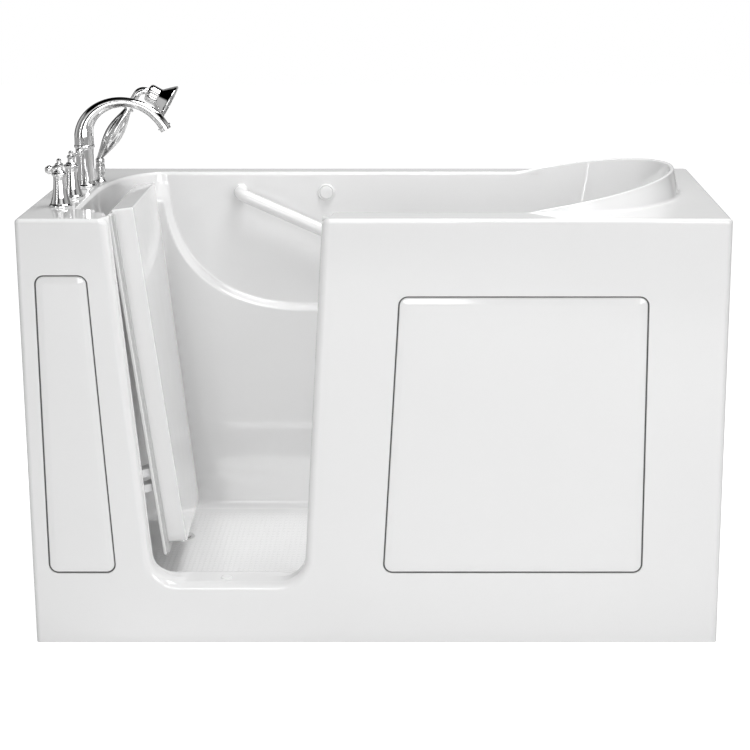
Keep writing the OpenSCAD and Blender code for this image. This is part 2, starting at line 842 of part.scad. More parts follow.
// From the button's housing down the back of the tub to the waste pipe
module overflow_pipe() {
    x = button_at[0];
    end = drain_at[0] + waste_r + seat;
    side_r = over_r - 1.5;
    pipe_t = 2.5;
    color([0.3, 0.3, 0.32]) difference() {
        union() {
            translate([x, over_y, waste_z - over_r])
                cylinder(r = over_r, h = button_at[2] + 2 * over_r - waste_z);
            translate([end, over_y, waste_z]) rotate([0, 90, 0]) cylinder(r = side_r, h = x - end);
            translate([x, rim_b + tail_end, button_at[2]]) rod_y(side_r, over_r);
        }
        translate([x, over_y, waste_z - side_r + pipe_t])
            cylinder(r = over_r - pipe_t, h = button_at[2] + 2 * side_r - waste_z - 2 * pipe_t);
        translate([end - 1, over_y, waste_z]) rotate([0, 90, 0])
            cylinder(r = side_r - pipe_t, h = x - end + 1);
        translate([x, rim_b + tail_end - 1, button_at[2]]) rod_y(6, over_r + 1);
    }
}

module drain_flange() {
    color(bright) translate([drain_at[0], drain_at[1], 0]) difference() {
        union() {
            translate([0, 0, floor_h]) cylinder(r = waste_r + 17, h = 2.5);
            translate([0, 0, waste_z + waste_r + 1]) cylinder(r = waste_r, h = floor_h - waste_z - waste_r);
        }
        translate([0, 0, waste_z]) cylinder(r = waste_r - 3, h = 200);
    }
}

module drain_stopper() {
    color(bright) translate([drain_at[0], drain_at[1], floor_h + 2.5 + seat]) {
        cylinder(r = waste_r + 9, h = 3);
        translate([0, 0, 3]) cylinder(r1 = waste_r + 9, r2 = waste_r + 4, h = 2.5);
        translate([0, 0, -14]) cylinder(r = 4, h = 14);
    }
}

spigot_l = 30;                       // end of the waste pipe that a trap fits over
module waste_pipe() {
    end = y_b - 6;
    bore = waste_r - 3;
    color([0.3, 0.3, 0.32]) translate([drain_at[0], drain_at[1], waste_z]) difference() {
        union() {
            translate([0, 0, -waste_r - 1]) cylinder(r = waste_r + 1, h = 2 * waste_r + 1.7);
            rod_y(waste_r, end - spigot_l - drain_at[1]);
            rod_y(waste_r - 1, end - drain_at[1]);
        }
        translate([0, 0, -bore]) cylinder(r = bore, h = 100);
        rod_y(bore - 1, far);
    }
}

//// Taps ////

spout_shank = deck_h - pipe_z - 10;

module spout_column() {
    color(bright) translate([taps_x + 2, spout_y, deck_h]) rotate_extrude() polygon([
        [0, -spout_shank], [shank_r, -spout_shank], [shank_r, 0], [26, 0], [26, 3], [23, 6], [22.4, 9],
        [21.2, 14], [20.6, column_h * 0.5], [21, column_h - 8], [21.4, column_h - 4], [23.5, column_h - 3],
        [24, column_h], [23.5, column_h + 3], [21.5, column_h + 4], [0, column_h + 4]]);
}

spout_base = [taps_x + 2, spout_y, deck_h + column_h + 4];
spout_a = spout_reach * 0.49;        // the near half of the arch
spout_b = spout_rise - 20;
spout_far_r = 110;
far_turn = asin((spout_reach - spout_a) / spout_far_r);

// Points, radii and directions along the spout: a quarter ellipse, then a round arc
function spout_point(t) = t < 0.5
    ? let (a = 180 * t) spout_base + [spout_a * (1 - cos(a)), 0, 20 + spout_b * sin(a)]
    : let (a = far_turn * (2 * t - 1)) spout_base
        + [spout_a + spout_far_r * sin(a), 0, 20 + spout_b - spout_far_r * (1 - cos(a))];
function spout_dir(t) = t < 0.5
    ? let (a = 180 * t) atan2(spout_a * sin(a), spout_b * cos(a))
    : 90 + far_turn * (2 * t - 1);
function spout_rad(t) = spout_r + 10 * pow(1 - min(1, t * 1.5), 1.4)
    - 2.3 * sin(180 * min(1, t * 1.15));

module spout_arc() {
    n = 22;
    steps = 20;
    color(bright) loft(concat(
        [ring(spout_base, spout_rad(0), 0, n)],
        [for (i = [0 : steps]) ring(spout_point(i / steps), spout_rad(i / steps), spout_dir(i / steps), n)]));
}

module spout_outlet() {
    color(bright) translate(spout_point(1)) rotate([0, spout_dir(1), 0]) {
        cylinder(r = spout_r + 3.4, h = 4);
        translate([0, 0, 4]) cylinder(r = spout_r + 0.6, h = 7);
    }
}

module tap_bell() {
    color(bright) translate([0, 0, deck_h]) difference() {
        rotate_extrude() polygon([
            [0, pipe_z - deck_h], [shank_r, pipe_z - deck_h], [shank_r, 0], [bell_r, 0],
            [bell_r + 0.8, 2], [bell_r, 5], [bell_r - 2.5, 7.5],
            [bell_r - 6.6, bell_h * 0.28], [bell_r - 9.6, bell_h * 0.52], [bell_r - 11, bell_h * 0.78],
            [bell_r - 10.6, bell_h - 8], [bell_r - 8, bell_h - 5.5], [bell_r - 7.4, bell_h - 3],
            [bell_r - 8.4, bell_h - 1], [bell_r - 10, bell_h], [0, bell_h]]);
        translate([0, 0, pipe_z - deck_h - 1]) cylinder(r = stem_r + pin_gap, h = 2 * far);
    }
}

stem_r = 6;
module hot_bell() translate([taps_x - 2, hot_y, 0]) tap_bell();
module cold_bell() translate([taps_x + 1, cold_y, 0]) tap_bell();

module tap_stem(at) {
    color(steel) translate([at[0], at[1], pipe_z + 5])
        cylinder(r = stem_r, h = deck_h + bell_h + 5 - pipe_z);
}
module hot_stem() tap_stem([taps_x - 2, hot_y]);
module cold_stem() tap_stem([taps_x + 1, cold_y]);

// Hub, lever and lobed end knob; the lever leans up a little towards its end
module tap_lever(turn, rise) {
    color(bright) translate([0, 0, deck_h + bell_h + seat]) difference() {
        union() {
            rotate_extrude() polygon([[0, 0], [12, 0], [12.5, 1.5], [11, 3.5], [8, 5], [7.6, 12],
                [9.5, 14.5], [9.5, 17], [8, 20], [4.2, 21.5], [5.2, 24], [5.4, 26.5],
                [3.6, 29.6], [0, 30.8]]);
            rotate([0, 0, turn]) translate([0, 0, 15]) rotate([0, 90 - rise, 0]) {
                cylinder(r1 = 5.6, r2 = 4, h = lever_l - 14);
                translate([0, 0, lever_l - 17]) cylinder(r = 5.8, h = 2.5);
                translate([0, 0, lever_l - 6]) sphere(r = 10);
            }
        }
        translate([0, 0, -1]) cylinder(r = stem_r + pin_gap, h = 11.5);
    }
}
module hot_lever() translate([taps_x - 2, hot_y, 0]) tap_lever(-107, -4);
module cold_lever() translate([taps_x + 1, cold_y, 0]) tap_lever(74, 8);

// Brass casting under the deck that joins both valves to the spout
module valve_manifold() {
    boss = 15;
    y1 = spout_y;
    color([0.75, 0.6, 0.3]) difference() {
        union() {
            translate([taps_x, hot_y, pipe_z]) rod_y(8, y1 - hot_y);
            for (p = [[taps_x - 2, hot_y], [taps_x + 1, cold_y]])
                translate([p[0], p[1], pipe_z - 22]) cylinder(r = boss, h = 40);
            translate([taps_x + 2, y1, pipe_z - 15]) cylinder(r = boss, h = 32);
        }
        for (p = [[taps_x - 2, hot_y], [taps_x + 1, cold_y]])
            translate([p[0], p[1], pipe_z]) cylinder(r = shank_r + pin_gap, h = 60);
        translate([taps_x + 2, y1, pipe_z + 10]) cylinder(r = shank_r + pin_gap, h = 60);
    }
}

inlet_z = 110;
inlet_r = 10.4;                      // over the thread of a half-inch connector
module supply_pipe(x, y) {
    h = pipe_z - 22 - inlet_z;
    color([0.7, 0.45, 0.3]) translate([x, y, inlet_z]) difference() {
        union() {
            cylinder(r = 7.5, h = h);
            cylinder(r = inlet_r, h = 20);
        }
        translate([0, 0, -1]) cylinder(r = 6, h = h + 2);
    }
}
module hot_supply_pipe() supply_pipe(taps_x - 2, hot_y);
module cold_supply_pipe() supply_pipe(taps_x + 1, cold_y);

module deck_nuts() {
    color(steel) for (p = [
            [taps_x - 2, hot_y, shank_r], [taps_x + 1, cold_y, shank_r],
            [taps_x + 2, spout_y, shank_r], [shower_at[0], shower_at[1], shank_r - 2]])
        translate([p[0], p[1], under_deck - 10]) difference() {
            union() {
                cylinder(r = p[2] + 5, h = 7, $fn = 6);
                translate([0, 0, 7]) cylinder(r = p[2] + 6, h = 3);
            }
            translate([0, 0, -1]) cylinder(r = p[2] + pin_gap, h = 12);
        }
}

//// Hand shower ////

socket_r = 6.5;
holder_h = 52;

module shower_holder() {
    color(bright) translate([shower_at[0], shower_at[1], deck_h]) difference() {
        rotate_extrude() polygon([
            [0, -58], [shank_r - 2, -58], [shank_r - 2, 0], [13, 0], [13.4, 2], [12.4, 5], [9.4, 9],
            [8.4, 14], [9, 20], [11.4, 26], [11, 40], [9.4, 46], [10.4, 48], [10.4, holder_h - 1],
            [9.4, holder_h], [0, holder_h]]);
        translate([0, 0, holder_h - 26]) cylinder(r = socket_r + pin_gap, h = 40);
        translate([0, 0, -60]) cylinder(r = 4, h = 80);
    }
}

grip_from = [shower_at[0], shower_at[1], deck_h + holder_h + 8];
handle_way = [sin(handle_lean), 0, cos(handle_lean)];
function grip_point(t) = grip_from + t * handle_l * handle_way;
function grip_dir(t) = handle_lean * min(1, 0.5 + 5 * t);
function grip_rad(t) = 6.8 + 13.4 * pow(max(0, sin(180 * t)), 1.2) + 1.5 * t;
grip_end = grip_point(1);

module shower_handle() {
    n = 20;
    steps = 14;
    color(bright) {
        translate([shower_at[0], shower_at[1], deck_h + holder_h - 24]) cylinder(r = socket_r, h = 28);
        translate([shower_at[0], shower_at[1], deck_h + holder_h + seat]) cylinder(r = 10.5, h = 4.7);
        loft(concat(
            [ring(grip_from - [0, 0, 4], 8.5, 0, n)],
            [for (i = [0 : steps])
                ring(grip_point(i / steps), grip_rad(i / steps), grip_dir(i / steps), n)]));
    }
}

// The neck bends over from the handle's end to the head
neck_r = 19;
head_lean = 119;
function neck_point(t) = let (a = handle_lean, k = a + (head_lean - a) * t) grip_end
    + neck_len * handle_way + neck_r * [cos(a) - cos(k), 0, sin(k) - sin(a)];
module shower_neck() {
    n = 16;
    steps = 10;
    a = handle_lean;
    color(bright) {
        translate(grip_end) rotate([0, a, 0]) cylinder(r = 13, h = 4);
        loft(concat(
            [ring(grip_end + 3 * handle_way, 9.4, a, n)],
            [for (i = [0 : steps]) ring(neck_point(i / steps), 8.7, a + (head_lean - a) * i / steps, n)]));
    }
}

head_at = neck_point(1);
plate_at = 52.5;                     // where the spray plate's recess begins
module shower_head() {
    color(bright) translate(head_at) rotate([0, head_lean, 0]) difference() {
        rotate_extrude() polygon([
            [0, 0], [13, 0], [18.5, 1.6], [21.2, 5], [21.8, 9], [21.8, 27], [22.6, 30], [26.5, 34],
            [shower_r - 10.5, 43], [shower_r - 2, 52.5], [shower_r, 55.5], [shower_r, 57],
            [shower_r - 1, 58.5], [0, 58.5]]);
        translate([0, 0, plate_at]) cylinder(r = shower_r - 4, h = 20);
    }
}

module spray_face() {
    color([0.75, 0.76, 0.78])
    translate(head_at) rotate([0, head_lean, 0]) translate([0, 0, plate_at]) difference() {
        cylinder(r = shower_r - 4.3, h = 5);
        for (k = [1 : 4], i = [0 : 6 * k - 1])
            rotate([0, 0, 60 * i / k]) translate([k * 8, 0, 3]) cylinder(r = 1.1, h = 5);
    }
}

tub_basin();
seat_basin();
back_wall();
ledge_corner();
tub_deck();
drain_floor();
front_apron();
left_end_panel();
right_end_panel();
left_access_panel();
right_access_panel();
left_panel_studs();
right_panel_studs();
base_rails();
cross_rails();
frame_posts();
deck_bearers();
seat_legs();
floor_pads();
levelling_feet();
foot_nuts();
door_leaf();
door_inner_panel();
door_gasket();
hinge_brackets();
hinge_arms();
hinge_pins();
latch_handle();
latch_spindle();
latch_cam();
latch_escutcheon();
latch_keeper();
threshold_cap();
grab_bar();
grab_bar_flanges();
grab_bar_bolts();
drain_button();
button_bezel();
overflow_pipe();
drain_flange();
drain_stopper();
waste_pipe();
spout_column();
spout_arc();
spout_outlet();
hot_bell();
cold_bell();
hot_lever();
cold_lever();
hot_stem();
cold_stem();
valve_manifold();
hot_supply_pipe();
cold_supply_pipe();
deck_nuts();
shower_holder();
shower_handle();
shower_neck();
shower_head();
spray_face();
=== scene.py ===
# %% [markdown]
# # A walk-in bathtub
# The scene is built in steps: materials first, then the moulded tub, its door and
# panels, and last the taps, the light and the camera. All lengths are in millimetres
# until a mesh is made, +X is right, +Y is back and +Z is up, and the tub stands on Z = 0.

# %% Open the frame
import math

import bpy
from mathutils import Matrix, Vector
from mathutils.geometry import delaunay_2d_cdt

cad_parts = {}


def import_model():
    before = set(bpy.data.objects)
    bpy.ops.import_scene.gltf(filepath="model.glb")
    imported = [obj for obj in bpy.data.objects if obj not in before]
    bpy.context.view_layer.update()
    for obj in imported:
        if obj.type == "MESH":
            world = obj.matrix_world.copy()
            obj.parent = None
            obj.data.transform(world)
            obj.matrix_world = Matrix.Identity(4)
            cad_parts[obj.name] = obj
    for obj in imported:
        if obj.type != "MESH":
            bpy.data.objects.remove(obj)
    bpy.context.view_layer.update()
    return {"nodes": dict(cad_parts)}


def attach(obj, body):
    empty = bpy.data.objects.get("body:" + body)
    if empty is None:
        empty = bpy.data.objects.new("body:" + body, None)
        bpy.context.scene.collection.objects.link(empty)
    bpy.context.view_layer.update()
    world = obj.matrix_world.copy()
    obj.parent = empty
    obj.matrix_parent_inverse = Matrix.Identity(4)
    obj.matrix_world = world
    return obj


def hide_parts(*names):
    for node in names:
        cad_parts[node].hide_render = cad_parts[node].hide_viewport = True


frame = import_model()
MM = 0.001

# %% [markdown]
# The sizes below are the construction's own, except that the ledge's slope is drawn
# steeper: LEDGE_BAND is its height here, and the construction's is 18 mm. The doorway's
# sides lean, so two functions give their place at any height. An arc helper serves the
# roundings.

# %% Sizes
X_L, X_R, Y_F, Y_B = -762.0, 762.0, -381.0, 381.0
DECK = 958.0
RIM_L, RIM_F, RIM_B, RIM_R, BOX_F = -650.0, -290.0, 313.0, 658.0, -250.0
FLOOR, FLOOR_R, SEAT, SEAT_X, NOSE_R = 98.0, 20.0, 500.0, 40.0, 25.0
NOSE_X, NOSE_Z = SEAT_X + NOSE_R, SEAT - NOSE_R      # centre of the seat's round front edge
DRAIN, DRAIN_R = (-490.0, 60.0, FLOOR), 18.0
LEDGE_DOWN, LEDGE_STEP, LEDGE_BAND = 332.0, 22.0, 11.0
LEDGE_END, LEDGE_RUN, LEDGE_SQUARE = -160.0, 366.0, 2.5
WAY_L, WAY_R, LEAN_L, LEAN_R = -567.0, -110.0, 5.0, 3.5   # the doorway at the deck, and its sides' degrees
SILL, SILL_R, PILLAR = 140.0, 62.0, 43.0            # PILLAR is the post left of the doorway
LEFT_DRAFT, RIGHT_DRAFT = 20.0, 98.0                 # how far the inside's ends draw in below
LEAF_Y, LEAF_T, INNER_T, LAP_L, LAP_R = -331.0, 46.0, 8.0, 9.0, 11.0
LEAF_LOW, LEAF_TOP, INNER_LOW = 163.0, 954.0, 143.0
INNER_Y = LEAF_Y + LEAF_T
INNER_B = INNER_Y + INNER_T
ROUND_X, NECK_START, NECK_SLOPE, RING_FROM = 400.0, 330.0, 0.182, 100.0
ROUND_W, ROUND_D, ROUND_Y = RIM_R - ROUND_X, (RIM_B - RIM_F) / 2, (RIM_B + RIM_F) / 2
END_W, END_D, END_Y = 120.0, 308.0, 5.0              # the round corner at the left end
HINGE_AT, HINGE_UP, DOOR_OPEN = Vector((-594.6, -265.5, DECK)), Vector((-0.071, -0.041, 1.0)), 92.5


def way_l(z):
    return WAY_L + (DECK - z) * math.tan(math.radians(LEAN_L))


def way_r(z):
    return WAY_R - (DECK - z) * math.tan(math.radians(LEAN_R))


def leaf_l(z):
    return way_l(z) - LAP_L


def leaf_r(z):
    return way_r(z) + LAP_R


def smooth(a, b, t):
    t = min(1.0, max(0.0, (t - a) / (b - a)))
    return t * t * (3 - 2 * t)


def arc(start, sweep, steps, first=0):
    """Cosine and sine at even steps along an arc, whose start and sweep are in degrees."""
    turns = [math.radians(start + sweep * i / steps) for i in range(first, steps + 1)]
    return [(math.cos(a), math.sin(a)) for a in turns]


print("doorway at the deck:", way_l(DECK), way_r(DECK), "at the sill:", way_l(SILL), way_r(SILL))

# %% [markdown]
# ## Skins
# A skin gathers faces patch by patch. Corners that fall on one place are shared, so
# patches that are computed from the same functions join without a seam. Each corner's
# normal comes from the faces round it, weighted by area, and flat patches outweigh the
# rest. That keeps wide flat areas flat and leaves the roundings smooth.


# %% Skin builder
class Skin:
    def __init__(self, sharp=38.0):
        self.at, self.points, self.faces, self.flat = {}, [], [], []
        self.sharp = math.cos(math.radians(sharp))

    def vertex(self, p):
        key = tuple(int(math.floor(c * 40.0 + 0.371)) for c in p)
        if key not in self.at:
            self.at[key] = len(self.points)
            self.points.append(Vector(p))
        return self.at[key]

    def face(self, corners, flat=False):
        ids = []
        for c in corners:
            i = self.vertex(c)
            if not ids or ids[-1] != i:
                ids.append(i)
        if len(ids) > 1 and ids[0] == ids[-1]:
            ids.pop()
        if len(set(ids)) > 2 and len(set(ids)) == len(ids):
            self.faces.append(ids)
            self.flat.append(flat)

    def grid(self, rows, closed=False, flip=False, flat=False):
        n = len(rows[0])
        for a, b in zip(rows, rows[1:]):
            for i in range(n if closed else n - 1):
                j = (i + 1) % n
                quad = [a[i], a[j], b[j], b[i]]
                self.face(quad[::-1] if flip else quad, flat)

    def plane(self, outline, normal, holes=()):
        """A flat patch square to an axis, inside an outline and outside its holes."""
        normal = Vector(normal)
        axis = max(range(3), key=lambda k: abs(normal[k]))
        across, up = [k for k in range(3) if k != axis]
        flat_points, solid_points, edges, rings = [], [], [], []
        for loop in [outline, *holes]:
            clean = []
            for p in loop:
                if not clean or self.vertex(p) != self.vertex(clean[-1]):
                    clean.append(Vector(p))
            if self.vertex(clean[0]) == self.vertex(clean[-1]):
                clean.pop()
            start = len(flat_points)
            edges += [(start + i, start + (i + 1) % len(clean)) for i in range(len(clean))]
            flat_points += [Vector((p[across], p[up])) for p in clean]
            solid_points += clean
            rings.append(flat_points[start:])
        verts, _, tris, origin = delaunay_2d_cdt(flat_points, edges, [], 1, 0.001)[:4]
        for tri in tris:
            centre = sum((Vector(verts[i]) for i in tri), Vector((0, 0))) / 3
            if sum(self._inside(centre, ring) for ring in rings) % 2 and all(origin[i] for i in tri):
                self._triangle([solid_points[origin[i][0]] for i in tri], normal)

    def tilted_plane(self, row, normal):
        """A flat patch inside one outline, in any plane."""
        n = normal.normalized()
        u = n.orthogonal().normalized()
        v = n.cross(u)
        points = [Vector((p.dot(u), p.dot(v))) for p in row]
        edges = [(i, (i + 1) % len(row)) for i in range(len(row))]
        _, _, tris, origin = delaunay_2d_cdt(points, edges, [], 1, 0.0005)[:4]
        for tri in tris:
            if all(origin[i] for i in tri):
                self._triangle([row[origin[i][0]] for i in tri], n)

    def _triangle(self, corners, normal):
        if (corners[1] - corners[0]).cross(corners[2] - corners[0]).dot(normal) < 0:
            corners.reverse()
        self.face(corners, True)

    @staticmethod
    def _inside(c, ring):
        hit = False
        for p, q in zip(ring, ring[1:] + ring[:1]):
            if (p.y > c.y) != (q.y > c.y) and c.x < (q.x - p.x) * (c.y - p.y) / (q.y - p.y) + p.x:
                hit = not hit
        return hit

    def lathe(self, profile, n, place):
        turns = [2 * math.pi * i / n for i in range(n)]
        self.grid([[place @ Vector((r * math.cos(a), r * math.sin(a), z)) for a in turns] for r, z in profile],
                  closed=True)

    def normals(self):
        face_n, around = [], [[] for _ in self.points]
        for f, ids in enumerate(self.faces):
            n = Vector((0, 0, 0))
            for a, b in zip(ids, ids[1:] + ids[:1]):
                n += self.points[a].cross(self.points[b])
            area = n.length
            weight = area * (1000.0 if self.flat[f] else 1.0)
            face_n.append((n / area if area > 1e-12 else Vector((0, 0, 1)), weight))
            for i in ids:
                around[i].append(f)
        out = []
        for f, ids in enumerate(self.faces):
            own = face_n[f][0]
            for i in ids:
                if self.flat[f]:
                    out.append(own.copy())
                    continue
                n = Vector((0, 0, 0))
                for g in around[i]:
                    if own.dot(face_n[g][0]) > self.sharp:
                        n += face_n[g][0] * face_n[g][1]
                out.append(n.normalized() if n.length > 0 else own)
        return out

    def mesh(self, name, material, body, replaced=(), slot=None):
        mesh = bpy.data.meshes.new(name)
        mesh.from_pydata([tuple(p * MM) for p in self.points], [], self.faces)
        mesh.polygons.foreach_set("use_smooth", [True] * len(mesh.polygons))
        mesh.update()
        mesh.normals_split_custom_set([tuple(n) for n in self.normals()])
        mesh.materials.append(material)
        dress(added(name, mesh), body, replaced)


def added(name, data):
    """A new object of the scene that shows a mesh, a lamp or a camera."""
    obj = bpy.data.objects.new(name, data)
    bpy.context.scene.collection.objects.link(obj)
    return obj


def dress(piece, body, replaced=()):
    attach(piece, body)
    if replaced:
        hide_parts(*replaced)


def turned(at, axis):
    """A place whose Z points along the axis."""
    q = Vector((0, 0, 1)).rotation_difference(Vector(axis))
    return Matrix.Translation(Vector(at)) @ q.to_matrix().to_4x4()


def soften(profile, r, n=5):
    """Rounds the corners of a profile with arcs of radius r at most."""
    out = [Vector(profile[0])]
    for a, b, c in zip(profile, profile[1:], profile[2:]):
        a, b, c = Vector(a), Vector(b), Vector(c)
        u, v = (a - b), (c - b)
        if u.length < 1e-6 or v.length < 1e-6:
            continue
        half = u.angle(v) / 2
        if half > math.radians(87):
            out.append(b)
            continue
        k = min(r / math.tan(half), u.length * 0.45, v.length * 0.45)
        p, q = b + u.normalized() * k, b + v.normalized() * k
        for i in range(n + 1):
            t = i / n
            out.append(p * (1 - t) ** 2 + b * 2 * t * (1 - t) + q * t ** 2)
    out.append(Vector(profile[-1]))
    return [(p.x, p.y) for p in out]


print("skin builder ready")

# %% [markdown]
# ## Materials
# Two helpers build every node tree. Three groups then carry the effects that several
# materials share. One gives a fine mottle for colour, one gives wear for roughness, and
# one turns a noise into a bump.


# %% Shared node groups
def grey(v):
    return (v, v, v, 1.0)


def feed(tree, sockets, values):
    """Links each named input to an output, or to a list of them, or gives it a value."""
    for key, value in values.items():
        for source in value if isinstance(value, list) else [value]:
            if isinstance(source, bpy.types.NodeSocket):
                tree.links.new(source, sockets[key])
            else:
                sockets[key].default_value = source


def put(tree, kind, output, inputs={}, **settings):
    """Adds a node and gives one of its outputs. The settings come before the inputs,
    because they decide which sockets the node has."""
    node = tree.nodes.new(kind)
    for key, value in settings.items():
        setattr(node, key, value)
    feed(tree, node.inputs, inputs)
    return node.outputs[output]


def calc(tree, operation, *values):
    """A sum on numbers or outputs."""
    return put(tree, "ShaderNodeMath", "Value", dict(enumerate(values)), operation=operation)


def new_group(name, inputs, outputs, kind="Shader"):
    """A node group. Each socket has a default value, or else the name of its kind."""
    tree = bpy.data.node_groups.new(name, kind + "NodeTree")
    for way, sockets in (("INPUT", inputs), ("OUTPUT", outputs)):
        for label, value in sockets.items():
            named = isinstance(value, str)
            socket = value if named else "Float" if isinstance(value, float) else ("Vector", "Color")[len(value) - 3]
            made = tree.interface.new_socket(label, in_out=way, socket_type="NodeSocket" + socket)
            if not named:
                made.default_value = value
    return tree, tree.nodes.new("NodeGroupInput").outputs, tree.nodes.new("NodeGroupOutput").inputs


def mottle_group():
    tree, given, result = new_group("mottle", {"Light": grey(0.9), "Dark": grey(0.8), "Scale": 20.0,
                                               "Speckle": 900.0}, {"Colour": "Color"})
    place = put(tree, "ShaderNodeTexCoord", "Object")
    broad = put(tree, "ShaderNodeTexNoise", "Fac", {"Vector": place, "Scale": given["Scale"], "Detail": 4.0})
    fine = put(tree, "ShaderNodeTexNoise", "Fac", {"Vector": place, "Scale": given["Speckle"], "Detail": 2.0})
    both = put(tree, "ShaderNodeMix", "Result", {"Factor": 0.35, "A": broad, "B": fine}, data_type="FLOAT")
    ramp = put(tree, "ShaderNodeMapRange", "Result", {"Value": both, "From Min": 0.3, "From Max": 0.7})
    feed(tree, result, {"Colour": put(tree, "ShaderNodeMix", "Result", {
        "Factor": ramp, "A": given["Dark"], "B": given["Light"]}, data_type="RGBA")})
    return tree


def stretched_noise(tree, given, **more):
    """A noise in the object's own coordinates, drawn out along an axis by Stretch."""
    place = put(tree, "ShaderNodeTexCoord", "Object")
    scaled = put(tree, "ShaderNodeVectorMath", "Vector", {0: place, 1: given["Stretch"]}, operation="MULTIPLY")
    return put(tree, "ShaderNodeTexNoise", "Fac", {"Vector": scaled, "Scale": given["Scale"], **more})


def wear_group():
    tree, given, result = new_group("wear", {"Least": 0.05, "Most": 0.2, "Scale": 30.0, "Stretch": (1.0, 1.0, 1.0)},
                                    {"Roughness": "Float"})
    feed(tree, result, {"Roughness": put(tree, "ShaderNodeMapRange", "Result", {
        "Value": stretched_noise(tree, given, Detail=6.0, Roughness=0.62), "From Min": 0.35, "From Max": 0.7,
        "To Min": given["Least"], "To Max": given["Most"]})})
    return tree


def grain_group():
    tree, given, result = new_group("grain", {"Scale": 400.0, "Height": 0.00002, "Stretch": (1.0, 1.0, 1.0)},
                                    {"Normal": "Vector"})
    feed(tree, result, {"Normal": put(tree, "ShaderNodeBump", "Normal", {
        "Strength": 1.0, "Height": stretched_noise(tree, given, Detail=3.0), "Distance": given["Height"]})})
    return tree


MOTTLE, WEAR, GRAIN = mottle_group(), wear_group(), grain_group()
print("groups:", MOTTLE.name, WEAR.name, GRAIN.name)

# %% [markdown]
# Every material takes its colour, roughness and fine relief from those groups. Values
# that are the same all over a surface sit on the shader itself.


# %% Materials
def material(name, light, dark, rough, scale, speckle, grain, wear, stretch=(1, 1, 1), **fixed):
    """rough is the least and the most roughness, grain the relief's scale and its height in metres."""
    mat = bpy.data.materials.new(name)
    mat.use_nodes = True
    tree = mat.node_tree
    own = {"Base Color": put(tree, "ShaderNodeGroup", "Colour", {
               "Light": light, "Dark": dark, "Scale": scale, "Speckle": speckle}, node_tree=MOTTLE),
           "Roughness": put(tree, "ShaderNodeGroup", "Roughness", {
               "Least": rough[0], "Most": rough[1], "Scale": wear, "Stretch": stretch}, node_tree=WEAR)}
    if grain:
        own["Normal"] = put(tree, "ShaderNodeGroup", "Normal", {
            "Scale": grain[0], "Height": grain[1], "Stretch": stretch}, node_tree=GRAIN)
    own.update((label.replace("_", " "), value) for label, value in fixed.items())
    feed(tree, tree.nodes["Principled BSDF"].inputs, own)
    return mat


GEL = material("gelcoat", grey(0.86), grey(0.845), (0.07, 0.12), 3.0, 500.0, (9.0, 0.00012), 14.0,
               Coat_Weight=0.6, Coat_Roughness=0.03, IOR=1.5)
ACRYLIC = material("cast acrylic", grey(0.86), grey(0.84), (0.06, 0.12), 10.0, 700.0, (60.0, 0.00004), 40.0,
                   Coat_Weight=0.3, Coat_Roughness=0.04, IOR=1.49)
LAMINATE = material("glass laminate", (0.62, 0.60, 0.50, 1), (0.44, 0.43, 0.34, 1), (0.35, 0.7), 60.0, 300.0,
                    (160.0, 0.0006), 80.0, IOR=1.52)
CHROME = material("chrome", grey(0.80), grey(0.76), (0.02, 0.07), 25.0, 800.0, None, 60.0, Metallic=1.0)
STEEL = material("stainless steel", grey(0.62), grey(0.50), (0.16, 0.34), 30.0, 900.0, (600.0, 0.00002), 60.0,
                 (1, 1, 6), Metallic=1.0)
ZINC = material("zinc plated tube", (0.56, 0.57, 0.58, 1), (0.40, 0.42, 0.44, 1), (0.25, 0.5), 40.0, 260.0,
                (220.0, 0.00006), 50.0, Metallic=0.9)
BRASS = material("cast brass", (0.62, 0.46, 0.20, 1), (0.46, 0.33, 0.13, 1), (0.28, 0.5), 60.0, 500.0,
                 (500.0, 0.00012), 80.0, Metallic=1.0)
COPPER = material("copper tube", (0.72, 0.40, 0.25, 1), (0.55, 0.29, 0.17, 1), (0.18, 0.4), 45.0, 500.0,
                  (300.0, 0.00003), 60.0, Metallic=1.0)
RUBBER = material("black rubber", grey(0.045), grey(0.028), (0.55, 0.8), 90.0, 800.0, (900.0, 0.00012), 90.0)
SEAL = material("silicone seal", grey(0.62), grey(0.54), (0.38, 0.55), 80.0, 700.0, (500.0, 0.00006), 70.0)
PIPE = material("waste pipe plastic", grey(0.10), grey(0.07), (0.25, 0.42), 60.0, 500.0, (300.0, 0.00005), 60.0)
PLATE = material("spray plate", grey(0.60), grey(0.50), (0.3, 0.45), 60.0, 900.0, (700.0, 0.00004), 60.0)
# a dark strip behind the access panels' gaps: painted shade for the gaps
GAP_SHADE = material("gap shade strip", grey(0.11), grey(0.08), (0.6, 0.85), 70.0, 900.0, (800.0, 0.0002), 90.0)
NOZZLE = material("rubber nozzle", grey(0.30), grey(0.24), (0.45, 0.6), 90.0, 900.0, (900.0, 0.00004), 80.0)
print("materials:", len(bpy.data.materials))

# %% [markdown]
# ## The moulded tub
# The deck is C-shaped, because the doorway opens it at the front. One closed loop of
# columns runs round that C: along the outer skirt, in through the doorway's right side,
# round the inside of the tub, and out through the doorway's left side. Each column knows
# its place at any height and the direction into the deck, and rounds over on its own.

# %% Inside walls at a height
def left_x(z):
    return RIM_L + LEFT_DRAFT * min(1.0, max(0.0, (888.0 - z) / 762.0))


def end_x(z):
    return RIM_R - RIGHT_DRAFT * (DECK - z) / (DECK - SEAT)


def step_at(z):
    return LEDGE_STEP * smooth(950.0, 884.0, z)


